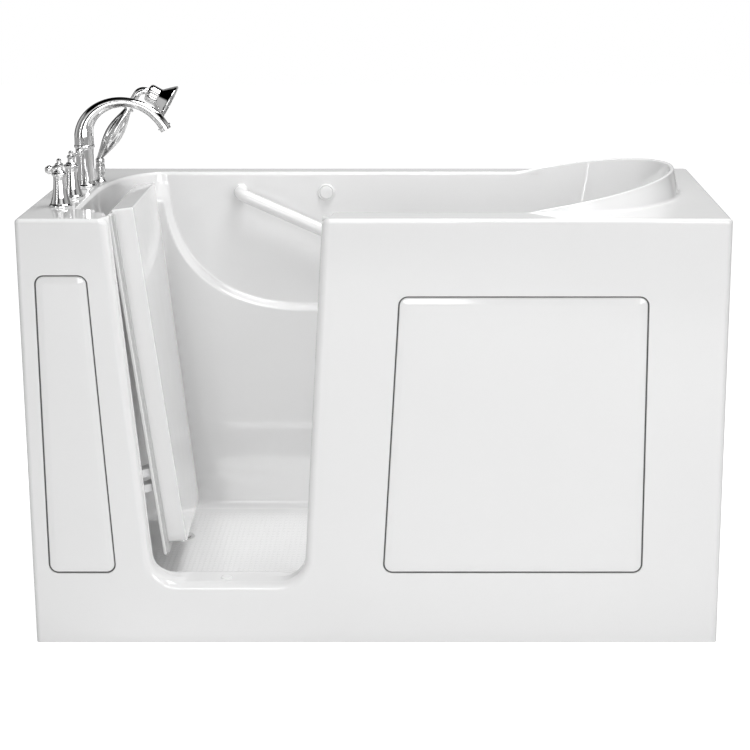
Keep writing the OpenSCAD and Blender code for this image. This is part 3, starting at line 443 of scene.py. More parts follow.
def ledge_side(x, z):
    """How far a point lies outside the ledge's curve, in mm."""
    a, b, p = LEDGE_RUN, LEDGE_DOWN, LEDGE_SQUARE
    dx, dz = max(0.0, LEDGE_END - x), max(0.0, DECK - z)
    if dx == 0.0:
        return dz - b
    u, v = (dx / a) ** p, (dz / b) ** p
    rho = (u + v) ** (1 / p)
    if rho < 1e-6:
        return -b
    gx, gz = (dx / a) ** (p - 1) / a, (dz / b) ** (p - 1) / b
    return (rho - 1.0) / max(1e-6, rho ** (1 - p) * math.hypot(gx, gz))


def ledge_ramp(s):
    """0 above the ledge's slope and 1 below it, with both edges rounded over e."""
    t, e = s / LEDGE_BAND, 0.25
    if t < -e:
        return 0.0
    if t < e:
        return (t + e) ** 2 / (4 * e)
    if t < 1 - e:
        return t
    if t < 1 + e:
        return 1.0 - (1 + e - t) ** 2 / (4 * e)
    return 1.0


def back_y(x, z):
    return RIM_B - step_at(z) * ledge_ramp(ledge_side(x, z))


print("ledge under the button:", round(ledge_side(-136.0, 640.0), 1))


# %% The doorway's profile
STEP_L, STEP_R, EDGE_OUT, EDGE_IN, SILL_IN = 15.0, 17.0, 18.0, 8.0, 15.0
REBATE_Y, REBATE_R = -334.0, 4.0
TOP_ROW = 936.0                      # every rim column ends here, and the walls start


def jamb(step, inner):
    """Points of the doorway's edge: how far into the wall, and the depth.
    step is how far the rebate lies back, inner the radius of the inmost edge."""
    r = REBATE_R * min(1.0, step / 15.0)
    pts = [(EDGE_OUT - EDGE_OUT * s, Y_F + EDGE_OUT - EDGE_OUT * c) for c, s in arc(0, 90, 8)]
    pts += [(0.0, -352.0), (0.0, -343.0)]
    pts += [(r - r * c, REBATE_Y - REBATE_R + REBATE_R * s) for c, s in arc(0, 90, 5)]
    pts += [(max(r, step - r) * 0.5 + r * 0.5, REBATE_Y)]
    pts += [(step - r + r * s, REBATE_Y + REBATE_R - REBATE_R * c) for c, s in arc(0, 90, 5)]
    pts += [(step, -318.0)]
    pts += [(step + inner - inner * c, RIM_F - inner + inner * s) for c, s in arc(0, 90, 6)]
    return pts


def way_path():
    """Stations down the left side, round the sill and up the right: x, z, direction, step, inner."""
    zc = SILL + SILL_R
    left_c = way_l(zc) + SILL_R / math.cos(math.radians(LEAN_L))
    right_c = way_r(zc) - SILL_R / math.cos(math.radians(LEAN_R))

    def side(way, lean, direction, step):
        """Stations from the walls' top down to where the sill's corner starts."""
        foot = zc - SILL_R * math.sin(math.radians(lean))
        zs = [TOP_ROW + (foot - TOP_ROW) * i / 24 for i in range(25)]
        return [(way(z), z, direction, step, EDGE_IN) for z in zs]

    def corner(cx, a, direction, step, w):
        a = math.radians(a)
        return (cx + SILL_R * math.cos(a), zc + SILL_R * math.sin(a), direction, step * w,
                SILL_IN + (EDGE_IN - SILL_IN) * w)

    out = side(way_l, LEAN_L, 180.0, STEP_L)
    for t in (i / 14 for i in range(1, 15)):
        out.append(corner(left_c, 180 + LEAN_L + (90 - LEAN_L) * t, 180 + 90 * t, STEP_L,
                          math.cos(math.radians(90 * t))))
    out += [(left_c + (right_c - left_c) * i / 12, SILL, 270.0, 0.0, SILL_IN) for i in range(1, 12)]
    for t in (i / 14 for i in range(14)):
        out.append(corner(right_c, 270 + (90 - LEAN_R) * t, 270 + 90 * t, STEP_R,
                          math.sin(math.radians(90 * t))))
    return out + side(way_r, LEAN_R, 360.0, STEP_R)[::-1]


def way_row(station):
    x, z, a, step, inner = station
    c, s = math.cos(math.radians(a)), math.sin(math.radians(a))
    return [Vector((x + u * c, y, z + u * s)) for u, y in jamb(step, inner)]


WAY = [way_row(s) for s in way_path()]
print("doorway:", len(WAY), "stations of", len(WAY[0]), "points")


# %% [markdown]
# The columns of the C follow. A column is a place at each height, a direction into the
# deck, and a rounding radius. Beside the neck rest it also carries the ring.

# %% Columns round the deck
def column(place, n, r=8.0):
    return {"at": place, "n": Vector(n), "r": r, "ring": False}


def front_wall(x, n=(0, -1, 0), r=8.0):
    return column(lambda z: Vector((x, RIM_F, z)), n, r)


def outer_columns():
    cols, r = [], 12.0

    def add(x, y, n):
        cols.append(column(lambda z: Vector((x, y, z)), n, 9.0))

    for x in (way_l(TOP_ROW) - EDGE_OUT - 20, -640.0, -700.0):
        add(x, Y_F, (0, 1, 0))
    ys = (-250.0, -125.0, 0.0, 125.0, 250.0)
    left = [(X_L, y, (1, 0, 0)) for y in ys]
    back = [(X_L + 127.0 * k, Y_B, (0, -1, 0)) for k in range(1, 12)]
    right = [(X_R, y, (-1, 0, 0)) for y in ys[::-1]]
    front = [(X_R - 2.0 - 64.0 * k, Y_F, (0, 1, 0)) for k in range(1, 14)]
    for cx, cy, start, side in ((X_L + r, Y_F + r, 270, left), (X_L + r, Y_B - r, 180, back),
                                (X_R - r, Y_B - r, 90, right), (X_R - r, Y_F + r, 0, front)):
        for c, s in arc(start, -90, 6):
            add(cx + r * c, cy + r * s, (-c, -s, 0))
        for spot in side:
            add(*spot)
    return cols


def jamb_columns(side):
    """The doorway's profile as columns, from the front inwards."""
    base = jamb(STEP_L if side < 0 else STEP_R, EDGE_IN)
    edge = way_l if side < 0 else way_r
    last = len(base) - 1
    cols = []
    for i, (u, y) in enumerate(base):
        a, b = base[max(0, i - 1)], base[min(last, i + 1)]
        t = Vector((side * (b[0] - a[0]), b[1] - a[1], 0)).normalized()
        # travelling inwards, the material lies to the left on the left side
        n = {0: (0, 1, 0), last: (0, -1, 0)}.get(i, (side * t.y, -side * t.x, 0))
        # the rounding swells at the front edge and is tight in the rebate
        r = 9.0 + (15.0 - 9.0) * smooth(0, 5, i)
        r += (2.6 - r) * smooth(-356.0, -340.0, y)
        r += (6.0 - r) * smooth(-322.0, -300.0, y)
        cols.append(column(lambda z, u=u, y=y: Vector((edge(z) + side * u, y, z)), n, r))
    return cols


def corner_columns(edge, dx, y, size, turns, way, r):
    """Columns round an upright corner inside, whose centre keeps its distance dx from an edge."""
    return [column(lambda z, c=c, s=s: Vector((edge(z) + dx + size * c, y + size * s, z)), (way * c, way * s, 0), r)
            for c, s in turns]


def inner_columns():
    cols = [front_wall(x, r=6.0 + 2 * smooth(-60, 40, x)) for x in
            (-40.0, 0.0, SEAT_X, 100.0, 160.0, 220.0, 280.0, 330.0, 350.0, 370.0, 385.0)]
    for c, s in arc(-90, 180, 72):
        def place(z, c=c, s=s):
            y = ROUND_Y + ROUND_D * s - max(0.0, s) * (RIM_B - back_y(ROUND_X, z))
            return Vector((ROUND_X + (end_x(z) - ROUND_X) * c, y, z))
        cols.append(column(place, Vector((c / ROUND_W, s / ROUND_D, 0)).normalized()))
    xs = [385.0, 370.0, 350.0] + [330.0 - 15 * k for k in range(19)] + [52.0, 46.0]
    xs += [SEAT_X - 10 * k for k in range(18)] + [-130.0 - 4 * k for k in range(1, 101)]
    for x in xs:
        def place(z, x=x):
            # the wall draws in with the corner that ends it
            px = x + (left_x(z) - RIM_L) * min(1.0, max(0.0, (-300.0 - x) / 230.0))
            return Vector((px, back_y(px, z), z))
        cols.append(column(place, (0, 1, 0)))
    for c, s in arc(90, 90, 60, 1):
        def place(z, c=c, s=s):
            x = left_x(z) + END_W + END_W * c
            return Vector((x, END_Y + END_D * s - (RIM_B - back_y(x, z)) * s, z))
        cols.append(column(place, Vector((c / END_W, s / END_D, 0)).normalized()))
    for y in (-30.0, -70.0, -110.0, -150.0, -190.0, -225.0):
        cols.append(column(lambda z, y=y: Vector((left_x(z), y, z)), (-1, 0, 0)))
    cols += corner_columns(left_x, 12, BOX_F + 12, 12, arc(180, 90, 6), 1, 7.0)
    # the box left of the doorway, its outer edge, and the pocket beside the door
    cols += corner_columns(way_l, -PILLAR - 8, BOX_F - 8, 8, arc(90, -90, 6), -1, 5.0)
    cols += corner_columns(way_l, -PILLAR + 5, RIM_F + 5, 5, arc(180, 90, 5), 1, 5.0)
    return cols


OUTER = outer_columns()
JAMB_R, JAMB_L = jamb_columns(1), jamb_columns(-1)
INNER = inner_columns()
print("columns:", len(OUTER), len(JAMB_R), len(INNER), len(JAMB_L))


# %% [markdown]
# Each column now gets its rows, from the deck down to one common height. A plain column
# has a round shoulder. Beside the neck rest, the row first climbs the ring's outer face,
# rounds its top and comes down inside.

# %% Rim rows
def rim_rows(col):
    n, r = col["n"], col["r"]
    if col["ring"]:
        rise = NECK_SLOPE * max(0.0, col["at"](DECK).x - NECK_START)
        end = abs(n.x) ** 1.3        # 0 along the sides and 1 at the end
        base, crown = 8.5 + 21.0 * end, 8.0 + 1.5 * end
        foot, top_out = min(7.0 + 5.0 * end, rise * 0.55), min(4.0, rise * 0.5)
        top_in = 8.0 - 4.0 * smooth(0.0, 12.0, rise)
        pts = [(30.0 + 22.0 * end, 0.0)]
        pts += [(base + foot - foot * s, foot - foot * c) for c, s in arc(0, 90, 4)]
        pts += [(base + (crown - base) * t, max(0.0, foot + (rise - top_out - foot) * t)) for t in (0.4, 0.75)]
        pts += [(crown - top_out * (1 - c), rise - top_out + top_out * s) for c, s in arc(0, 90, 4)]
        pts += [(top_in - top_in * s, rise - top_in + top_in * c) for c, s in arc(0, 90, 6)]
        pts += [(0.0, min(rise - top_in, (rise - top_in) * 0.5 - 8))]
    else:
        pts = [(r - r * s, r * c - r) for c, s in arc(0, 90, 20)]
    rows = []
    for d, h in pts + [(0.0, TOP_ROW - DECK)]:
        q = col["at"](DECK + h) + n * d
        q.z = DECK + h
        rows.append(q)
    return rows


for col in INNER:
    col["ring"] = col["at"](DECK).x >= RING_FROM
RIM = [rim_rows(c) for c in OUTER + JAMB_R + INNER + JAMB_L[::-1]]
print("rim:", len(RIM), "columns,", {len(r) for r in RIM}, "rows")


# %% Walls, floor and seat
def seat_fillet(x):
    return 22.0 * smooth(66.0, 130.0, x)


def seat_low(x):
    """Where the wall meets the seat, or the seat's rounded front edge."""
    if x >= NOSE_X:
        return SEAT + seat_fillet(x)
    t = min(NOSE_R, NOSE_X - x)
    return NOSE_Z + math.sqrt(max(0.0, NOSE_R ** 2 - t * t))


UPPER = [TOP_ROW - 2.0 * i for i in range(174)]              # close rows down to the ledge's foot
UPPER += [586.0, 570.0, 552.0, 537.0, 522.0, 512.0, 500.0, 490.0, 482.0, NOSE_Z]
LOWER = [440.0, 400.0, 360.0, 320.0, 280.0, 240.0, 200.0, 160.0, 132.0, FLOOR + FLOOR_R]


def wall_rows(cols, zs, low=None):
    """Rows of a wall at heights zs. low gives the height where a column ends."""
    return [[c["at"](max(z, low(c["at"](z).x)) if low else z) for c in cols] for z in zs]


def hollow(cols, level, radius):
    """Rows of the hollow that leads from the walls to a flat at the given level."""
    rows = []
    for c, s in arc(0, 90, 7):
        row = []
        for col in cols:
            f = radius(col)
            q = col["at"](level + f) - col["n"] * (f * (1 - c))
            q.z = level + f - f * s
            row.append(q)
        rows.append(row)
    return rows


def build_tub():
    skin = Skin()
    # the rim all the way round, the flat of the deck, and the doorway
    skin.grid(list(zip(*RIM)), closed=True)
    skin.plane([r[0] for r in RIM], (0, 0, 1))
    skin.grid(WAY, flip=True)
    # inside walls, split where the seat begins
    at_deck = [c["at"](DECK).x for c in INNER]
    bend = next(i for i, x in enumerate(at_deck) if abs(x - ROUND_X) < 1e-3)
    at_seat = next(i for i, x in enumerate(at_deck) if i > bend and abs(x - SEAT_X) < 1e-3)
    seat_cols, foot_cols = INNER[bend:at_seat + 1], INNER[at_seat:]
    skin.grid(wall_rows(seat_cols, UPPER, seat_low))
    skin.grid(wall_rows(foot_cols, UPPER + LOWER))
    # seat: a hollow along the walls, the flat, and the rounded front edge
    along = [front_wall(x) for x in (NOSE_X, 85.0, 110.0, 150.0, 220.0, 300.0, 350.0)]
    along += [c for c in seat_cols if c["at"](SEAT).x >= NOSE_X - 1e-6]
    along.append(column(lambda z: Vector((NOSE_X, back_y(NOSE_X, z), z)), (0, 1, 0)))
    seat_rows = hollow(along, SEAT, lambda col: seat_fillet(col["at"](SEAT + 30).x))
    skin.grid(seat_rows)
    skin.plane(seat_rows[-1], (0, 0, 1))
    foot_b = RIM_B - LEDGE_STEP
    nose = [[Vector((NOSE_X - NOSE_R * s, y, NOSE_Z + NOSE_R * c)) for y in (RIM_F, foot_b)] for c, s in arc(0, 90, 8)]
    skin.grid(nose)
    # footwell: hollow round the floor, and the floor round its drain
    seat_face = front_wall(SEAT_X, (1, -1, 0))
    sill_face = [front_wall(x) for x in (-60.0, -110.0, -160.0, -250.0, -340.0, -430.0, -470.0)]
    corner_back = column(foot_cols[0]["at"], (1, 1, 0))
    floor_rows = hollow([corner_back] + foot_cols[1:] + sill_face[::-1] + [seat_face], FLOOR, lambda col: FLOOR_R)
    skin.grid(floor_rows, closed=True)
    turns = [2 * math.pi * i / 32 for i in range(32)]
    drain = [Vector((DRAIN[0] + DRAIN_R * math.cos(a), DRAIN[1] + DRAIN_R * math.sin(a), FLOOR)) for a in turns]
    skin.plane(floor_rows[-1], (0, 0, 1), [drain])
    # the seat's front face
    zf = FLOOR + FLOOR_R
    skin.plane([Vector((SEAT_X, y, z)) for y, z in ((RIM_F, zf), (RIM_F, NOSE_Z), (foot_b, NOSE_Z))] +
               [foot_cols[0]["at"](z) for z in LOWER], (-1, 0, 0))
    # the front wall's inner face
    first = len(OUTER) + len(JAMB_R)
    right_top = [rows[-1] for rows in RIM[first:first + bend]]
    bend_side = [seat_cols[0]["at"](max(z, seat_low(ROUND_X))) for z in UPPER]
    floor_edge = [c["at"](zf) for c in [seat_face] + sill_face]
    pocket_side = [foot_cols[-1]["at"](z) for z in reversed(UPPER + LOWER)]
    skin.plane([w[-1] for w in WAY] + right_top + bend_side + seat_rows[0][:8][::-1] + [row[0] for row in nose] +
               floor_edge + pocket_side, (0, 1, 0))
    return skin


tub = build_tub()
print("tub skin:", len(tub.points), "points,", len(tub.faces), "faces")

# %% [markdown]
# The front skirt has an opening for each access panel. Outline helpers round a polygon's
# corners, and grow or shrink it.


# %% Outlines
def corners_of(points):
    """Each corner of an anticlockwise polygon, with its two sides' directions and outward normals."""
    for i, corner in enumerate(points):
        a, b, c = Vector(points[i - 1]), Vector(corner), Vector(points[(i + 1) % len(points)])
        u, v = (b - a).normalized(), (c - b).normalized()
        yield b, u, v, Vector((u.y, -u.x)), Vector((v.y, -v.x))


def grown(points, d):
    """The polygon moved out by d, with straight sides kept."""
    out = []
    for b, _, _, nu, nv in corners_of(points):
        m = (nu + nv).normalized()
        out.append(b + m * (d / m.dot(nu)))
    return out


def rounded(points, radii, n):
    """Points and outward directions along the polygon with round corners, a radius for each."""
    out = []
    for r, (b, u, v, nu, _) in zip(radii, corners_of(points)):
        turn = u.angle(v)
        centre = b - u * (r * math.tan(turn / 2)) - nu * r
        start = math.atan2(nu.y, nu.x)
        for j in range(n + 1):
            t = start + turn * j / n
            d = Vector((math.cos(t), math.sin(t)))
            out.append((centre + d * r, d))
    return out


SEAM, PANEL_R, PANEL_LOW, LEFT_HIGH, RIGHT_HIGH = 3.0, 18.0, 167.0, 834.0, 788.0
LEFT_PANEL = [(X_L + 39.5, PANEL_LOW), (X_L + 183, PANEL_LOW), (X_L + 146.3, LEFT_HIGH), (X_L + 39.5, LEFT_HIGH)]
RIGHT_EDGE, RIGHT_WIDE = X_R - 174.6, 570.0
RIGHT_PANEL = [(RIGHT_EDGE - RIGHT_WIDE, PANEL_LOW), (RIGHT_EDGE, PANEL_LOW), (X_R - 176, RIGHT_HIGH),
               (RIGHT_EDGE - RIGHT_WIDE + (RIGHT_HIGH - PANEL_LOW) * math.tan(math.radians(LEAN_R)), RIGHT_HIGH)]
PANELS = (("left", LEFT_PANEL), ("right", RIGHT_PANEL))
# rows of (distance from the opening's edge, depth behind the skirt's face)
OPENING_ROWS = ((2.0, 0.0), (1.2, 0.15), (0.5, 0.6), (0.1, 1.3), (0.0, 2.2), (0.0, 14.0))


def skirt():
    holes = []
    for _, outline in PANELS:
        ring = rounded(grown(outline, SEAM), [PANEL_R + SEAM] * 4, 10)
        rows = [[Vector((p.x + n.x * d, Y_F + y, p.y + n.y * d)) for p, n in ring] for d, y in OPENING_ROWS]
        tub.grid(rows, closed=True)
        holes.append(rows[0])
    # the columns run from the doorway's left side round the back to its right side
    on_front = [i for i, c in enumerate(OUTER) if abs(c["at"](DECK).y - Y_F) < 1e-6]
    front_left = [i for i in on_front if i < len(OUTER) // 2]
    front_right = [i for i in on_front if i >= len(OUTER) // 2]
    left, right = ([RIM[i][-1] for i in side] for side in (front_left, front_right))
    low_r, low_l = Vector((right[0].x, Y_F, 0)), Vector((left[-1].x, Y_F, 0))
    tub.plane([w[0] for w in WAY] + right[::-1] + [low_r, low_l] + left[::-1], (0, -1, 0), holes)
    # both ends and their corners; the back is open
    for i in range(front_left[-1], front_right[0]):
        pa, pb = RIM[i][-1], RIM[i + 1][-1]
        if abs(pa.y - Y_B) > 1e-6 or abs(pb.y - Y_B) > 1e-6:
            tub.face([pa, pb, Vector((pb.x, pb.y, 0)), Vector((pa.x, pa.y, 0))], abs(pa.x - pb.x) < 1e-6)


skirt()
tub.mesh("tub_shell", GEL, "tub", ("tub_basin", "seat_basin", "back_wall", "ledge_corner", "tub_deck", "drain_floor",
                                   "front_apron", "left_end_panel", "right_end_panel"), "gelcoat")
print("tub shell:", len(tub.points), "points,", len(tub.faces), "faces")

# %% [markdown]
# The moulding is a thin shell. Its rough side is the same skin again, moved in by the
# shell's thickness and turned inside out, and it shows the glass fibre under the gloss.


# %% Rough side of the moulding
def rough_side(skin, thick):
    lean = [Vector((0, 0, 0)) for _ in skin.points]
    for ids in skin.faces:
        n = Vector((0, 0, 0))
        for a, b in zip(ids, ids[1:] + ids[:1]):
            n += skin.points[a].cross(skin.points[b])
        if n.length > 1e-9:
            n.normalize()
            for i in ids:
                lean[i] += n
    back = Skin(60)
    moved = [p - n.normalized() * thick if n.length > 1e-6 else p for p, n in zip(skin.points, lean)]
    for p in moved:
        p.z = min(p.z, DECK - thick)
    for ids, flat in zip(skin.faces, skin.flat):
        back.face([moved[i] for i in reversed(ids)], flat)
    return back


laminate = rough_side(tub, 5.0)
laminate.mesh("tub_laminate", LAMINATE, "tub")
print("rough side:", len(laminate.faces), "faces")

# %% [markdown]
# ## Access panels and door
# A slab is a rounded outline with depth. Its rows follow a list of insets and depths, and
# flat patches close it.


# %% Slabs
def slab(skin, ring, steps, caps=(True, True), place=Matrix.Identity(4)):
    """Rows along a ring of points and directions; steps are (inset, depth), front first."""
    rows = [[place @ Vector((p.x - n.x * d, y, p.y - n.y * d)) for p, n in ring] for d, y in steps]
    skin.grid(rows, closed=True, flip=True)
    for cap, row, way in zip(caps, (rows[0], rows[-1]), (-1, 1)):
        if cap:
            skin.tilted_plane(row, place.to_3x3() @ Vector((0, way, 0)))


def bevel_steps(y0, y1, r0, r1):
    """Insets and depths of a slab with round edges r0 in front and r1 behind."""
    turns = arc(0, 90, 5)
    return ([(r0 * (1 - s), y0 + r0 * (1 - c)) for c, s in turns] +
            [(r1 * (1 - c), y1 - r1 * (1 - s)) for c, s in turns])


# rows of (inset, depth) of a panel's face, and of (overhang, depth) of the dark strip behind its seam, which paints
# the gap's shade
PANEL_ROWS = ((17.0, 0.0), (15.0, 0.05), (12.0, 0.35), (4.0, 1.55), (2.0, 2.0), (1.0, 2.5), (0.3, 3.3), (0.0, 4.4),
              (0.0, 7.7))
SHADE_STRIP_ROWS = ((3.2, 4.6), (1.6, 4.2), (0.2, 4.6), (0.1, 7.6))


def access_panel(side, outline):
    skin = Skin()
    slab(skin, rounded(outline, [PANEL_R] * 4, 10), [(d, Y_F + y) for d, y in PANEL_ROWS])
    skin.mesh(side + "_panel_skin", GEL, side + "_access", (side + "_access_panel",), "gelcoat")


def gap_shade_strip(side, outline):
    """A dark strip behind the gap round a panel: painted shade, which makes the gap read as a dark line."""
    skin = Skin()
    skin.grid([[Vector((p.x + n.x * d, Y_F + y, p.y + n.y * d)) for p, n in rounded(outline, [PANEL_R] * 4, 10)]
               for d, y in SHADE_STRIP_ROWS], closed=True, flip=True)
    skin.mesh(side + "_panel_gap_shade", GAP_SHADE, "tub")


for build in (access_panel, gap_shade_strip):
    for side, outline in PANELS:
        build(side, outline)
# the strips of painted gap shade are built together with the panels
print("panels and their foam strips done")

# %% [markdown]
# The door is shaped in its closed place and then swung open about the leaning hinge axis.


# %% Door
SWING = (Matrix.Translation(HINGE_AT) @ Matrix.Rotation(math.radians(DOOR_OPEN), 4, HINGE_UP.normalized())
         @ Matrix.Translation(-HINGE_AT))


def leaf_outline(l, r, b, top):
    """The leaf's outline, wider by l and r and longer by b below."""
    low = LEAF_LOW - b
    return [(leaf_l(low) - l, low), (leaf_r(low) + r, low), (leaf_r(top) + r, top), (leaf_l(top) - l, top)]


def door_slab(name, node, ring, steps, caps):
    skin = Skin()
    slab(skin, ring, steps, caps, SWING)
    skin.mesh(name, GEL, "door", (node,), "gelcoat")


door_slab("door_skin", "door_leaf", rounded(leaf_outline(0, 0, 0, LEAF_TOP), (24.0, 24.0, 4.0, 4.0), 10),
          bevel_steps(LEAF_Y, INNER_Y, 3.0, 0.5), (True, False))
door_slab("door_lining", "door_inner_panel",
          rounded(leaf_outline(25, 14, LEAF_LOW - INNER_LOW, LEAF_TOP - 6), (12.0, 12.0, 4.0, 4.0), 8),
          bevel_steps(INNER_Y, INNER_B, 2.5, 3.0), (True, True))
print("door swung by", DOOR_OPEN)

# %% [markdown]
# ## Deck fittings
# Turned parts are lathed from softened profiles. Bent parts are sweeps of rings.


# %% Taps
HOT, COLD, SPOUT, SHOWER = (-692.0, -212.0), (-689.0, -84.0), (-688.0, 86.0), (-661.5, 136.0)
BELL_R, BELL_H = 25.0, 75.0


def on_deck(spot, z=0.0):
    return Vector((spot[0], spot[1], DECK + z))


def leaning(a):
    """The direction that leans by an angle from upright towards +X."""
    return Vector((math.sin(a), 0, math.cos(a)))


def turned_part(name, node, mat, slot, at, soft, profile, body="tub", axis=(0, 0, 1), n=72):
    skin = Skin()
    skin.lathe(soften(profile, soft), n, turned(at, axis))
    skin.mesh(name, mat, body, (node,), slot)


for side, spot in (("hot", HOT), ("cold", COLD)):
    turned_part(side + "_bell_skin", side + "_bell", CHROME, "chrome", on_deck(spot), 3.0, [
        (6.1, -78), (10, -78), (10, 0), (BELL_R, 0), (BELL_R + 0.8, 2), (BELL_R, 5), (BELL_R - 2.5, 7.5),
        (BELL_R - 6.6, BELL_H * 0.28), (BELL_R - 9.6, BELL_H * 0.52), (BELL_R - 11, BELL_H * 0.78),
        (BELL_R - 10.6, BELL_H - 8), (BELL_R - 8, BELL_H - 5.5), (BELL_R - 7.4, BELL_H - 3),
        (BELL_R - 8.4, BELL_H - 1), (BELL_R - 10, BELL_H), (6.1, BELL_H)])


def ring_at(p, direction, side, radius, n, shape=None):
    """A ring of n points round p, square to direction. shape scales the radius by the angle."""
    d = Vector(direction).normalized()
    s = (Vector(side) - d * Vector(side).dot(d)).normalized()
    t = d.cross(s)
    out = []
    for a in (2 * math.pi * i / n for i in range(n)):
        r = radius * (shape(a) if shape else 1.0)
        out.append(Vector(p) + s * (r * math.cos(a)) + t * (r * math.sin(a)))
    return out


def swept(skin, rows, ends=(True, True)):
    """Joins rings, and closes either end with a fan."""
    skin.grid(rows, closed=True)
    for end, row, flip in ((ends[0], rows[0], True), (ends[1], rows[-1], False)):
        if end:
            c = sum(row, Vector((0, 0, 0))) / len(row)
            for p, q in zip(row, row[1:] + row[:1]):
                skin.face([c, q, p] if flip else [p, q, c])


HUB = [(6.1, 0.0), (12, 0), (12.5, 1.5), (11, 3.5), (8, 5), (7.6, 12), (9.5, 14.5), (9.5, 17), (8, 20), (4.2, 21.5),
       (5.2, 24), (5.4, 26.5), (3.6, 29.6), (0.01, 30.8)]
ARM = [(4, 5.6), (10, 5.0), (18, 4.5), (26, 4.1), (32, 4.0), (34.6, 4.4), (35, 5.4), (36, 5.8), (37.4, 5.6),
       (38, 4.6), (38.6, 4.4)]


def lever(side, spot, turn, rise):
    """A hub, and an arm of (distance, radius) that ends in a lobed knob."""
    skin = Skin()
    base = BELL_H + 0.3
    skin.lathe(soften(HUB, 0.9), 48, Matrix.Translation(on_deck(spot, base)))
    a, e = math.radians(turn), math.radians(rise)
    along = Vector((math.cos(a) * math.cos(e), math.sin(a) * math.cos(e), math.sin(e)))
    start = on_deck(spot, base + 15)
    rows = [ring_at(start + along * s, along, (0, 0, 1), r, 32) for s, r in ARM]
    for c, s in arc(25, 155, 20):
        lobe = (lambda b, w=max(0.0, s): 1.0 - 0.13 * w * (0.5 - 0.5 * math.cos(6 * b)))
        rows.append(ring_at(start + along * (46 - 10.0 * c), along, (0, 0, 1), max(0.02, 10.0 * s), 32, lobe))
    swept(skin, rows, (False, True))
    skin.mesh(side + "_lever_skin", CHROME, side + "_tap", (side + "_lever",), "chrome")


lever("hot", HOT, -107, -4)
lever("cold", COLD, 74, 8)

SPOUT_H, SPOUT_REACH, SPOUT_UP, SPOUT_B, SPOUT_FAR, SPOUT_R = 94.0, 187.0, 20, 78.0, 110.0, 12.6
SPOUT_A = SPOUT_REACH * 0.49
SPOUT_BASE = on_deck(SPOUT, SPOUT_H + 4)
FAR_TURN = math.asin((SPOUT_REACH - SPOUT_A) / SPOUT_FAR)
turned_part("spout_column_skin", "spout_column", CHROME, "chrome", on_deck(SPOUT), 1.4, [
    (0.01, -68), (10, -68), (10, 0), (26, 0), (26, 3), (23, 6), (22.4, 9), (21.2, 14), (20.6, SPOUT_H * 0.5),
    (21, SPOUT_H - 8), (21.4, SPOUT_H - 4), (23.5, SPOUT_H - 3), (24, SPOUT_H), (23.5, SPOUT_H + 3),
    (21.5, SPOUT_H + 4), (0.01, SPOUT_H + 4)])


def spout_at(t):
    """The spout's middle line and its lean: a quarter of an ellipse, then part of a circle."""
    if t < 0.5:
        a = math.pi * t
        return (SPOUT_BASE + Vector((SPOUT_A * (1 - math.cos(a)), 0, SPOUT_UP + SPOUT_B * math.sin(a))),
                math.atan2(SPOUT_A * math.sin(a), SPOUT_B * math.cos(a)))
    a = FAR_TURN * (2 * t - 1)
    z = SPOUT_UP + SPOUT_B - SPOUT_FAR * (1 - math.cos(a))
    return SPOUT_BASE + Vector((SPOUT_A + SPOUT_FAR * math.sin(a), 0, z)), math.pi / 2 + a


def spout_radius(t):
    return SPOUT_R + 10 * (1 - min(1, t * 1.5)) ** 1.4 - 2.3 * math.sin(math.pi * min(1, t * 1.15))


def spout():
    skin = Skin()
    rows = [ring_at(SPOUT_BASE + Vector((0, 0, h)), (0, 0, 1), (0, 1, 0), spout_radius(0), 56) for h in (0, 10)]
    for i in range(81):
        p, a = spout_at(i / 80)
        rows.append(ring_at(p, leaning(a), (0, 1, 0), spout_radius(i / 80), 56))
    swept(skin, rows)
    skin.mesh("spout_skin", CHROME, "tub", ("spout_arc",), "chrome")
    p, a = spout_at(1.0)
    turned_part("spout_tip_skin", "spout_outlet", CHROME, "chrome", p, 0.6, [
        (0.01, 0), (SPOUT_R + 2.4, 0), (SPOUT_R + 3.4, 1), (SPOUT_R + 3.4, 3.2), (SPOUT_R + 2.4, 4.0),
        (SPOUT_R + 0.6, 4.6), (SPOUT_R + 0.6, 10.2), (SPOUT_R - 0.6, 11), (SPOUT_R - 2.2, 11), (SPOUT_R - 2.8, 9.5),
        (0.01, 9.5)], axis=leaning(a))


spout()
print("taps and spout done")

# %% [markdown]
# The hand shower stands in its holder. Its grip is fluted: the flutes swell with the grip
# and die out at both ends.

# %% Hand shower
LEAN, HEAD_LEAN = math.radians(32), math.radians(119)
GRIP_WAY, HEAD_WAY = leaning(LEAN), leaning(HEAD_LEAN)
GRIP_FROM, GRIP_L, NECK_R, NECK_L, HEAD_R, FACE_H = on_deck(SHOWER, 60), 134.0, 19.0, 41.0, 45.5, 57.5
GRIP_END = GRIP_FROM + GRIP_WAY * GRIP_L
turned_part("shower_holder_skin", "shower_holder", CHROME, "chrome", on_deck(SHOWER), 1.6, [
    (4.1, -58), (8, -58), (8, 0), (13, 0), (13.4, 2), (12.4, 5), (9.4, 9), (8.4, 14), (9, 20), (11.4, 26), (11, 40),
    (9.4, 46), (10.4, 48), (10.4, 51), (9.4, 52), (6.6, 52), (6.6, 26)])


def grip_radius(t):
    return 6.8 + 13.4 * max(0.0, math.sin(math.pi * t)) ** 1.2 + 1.5 * t


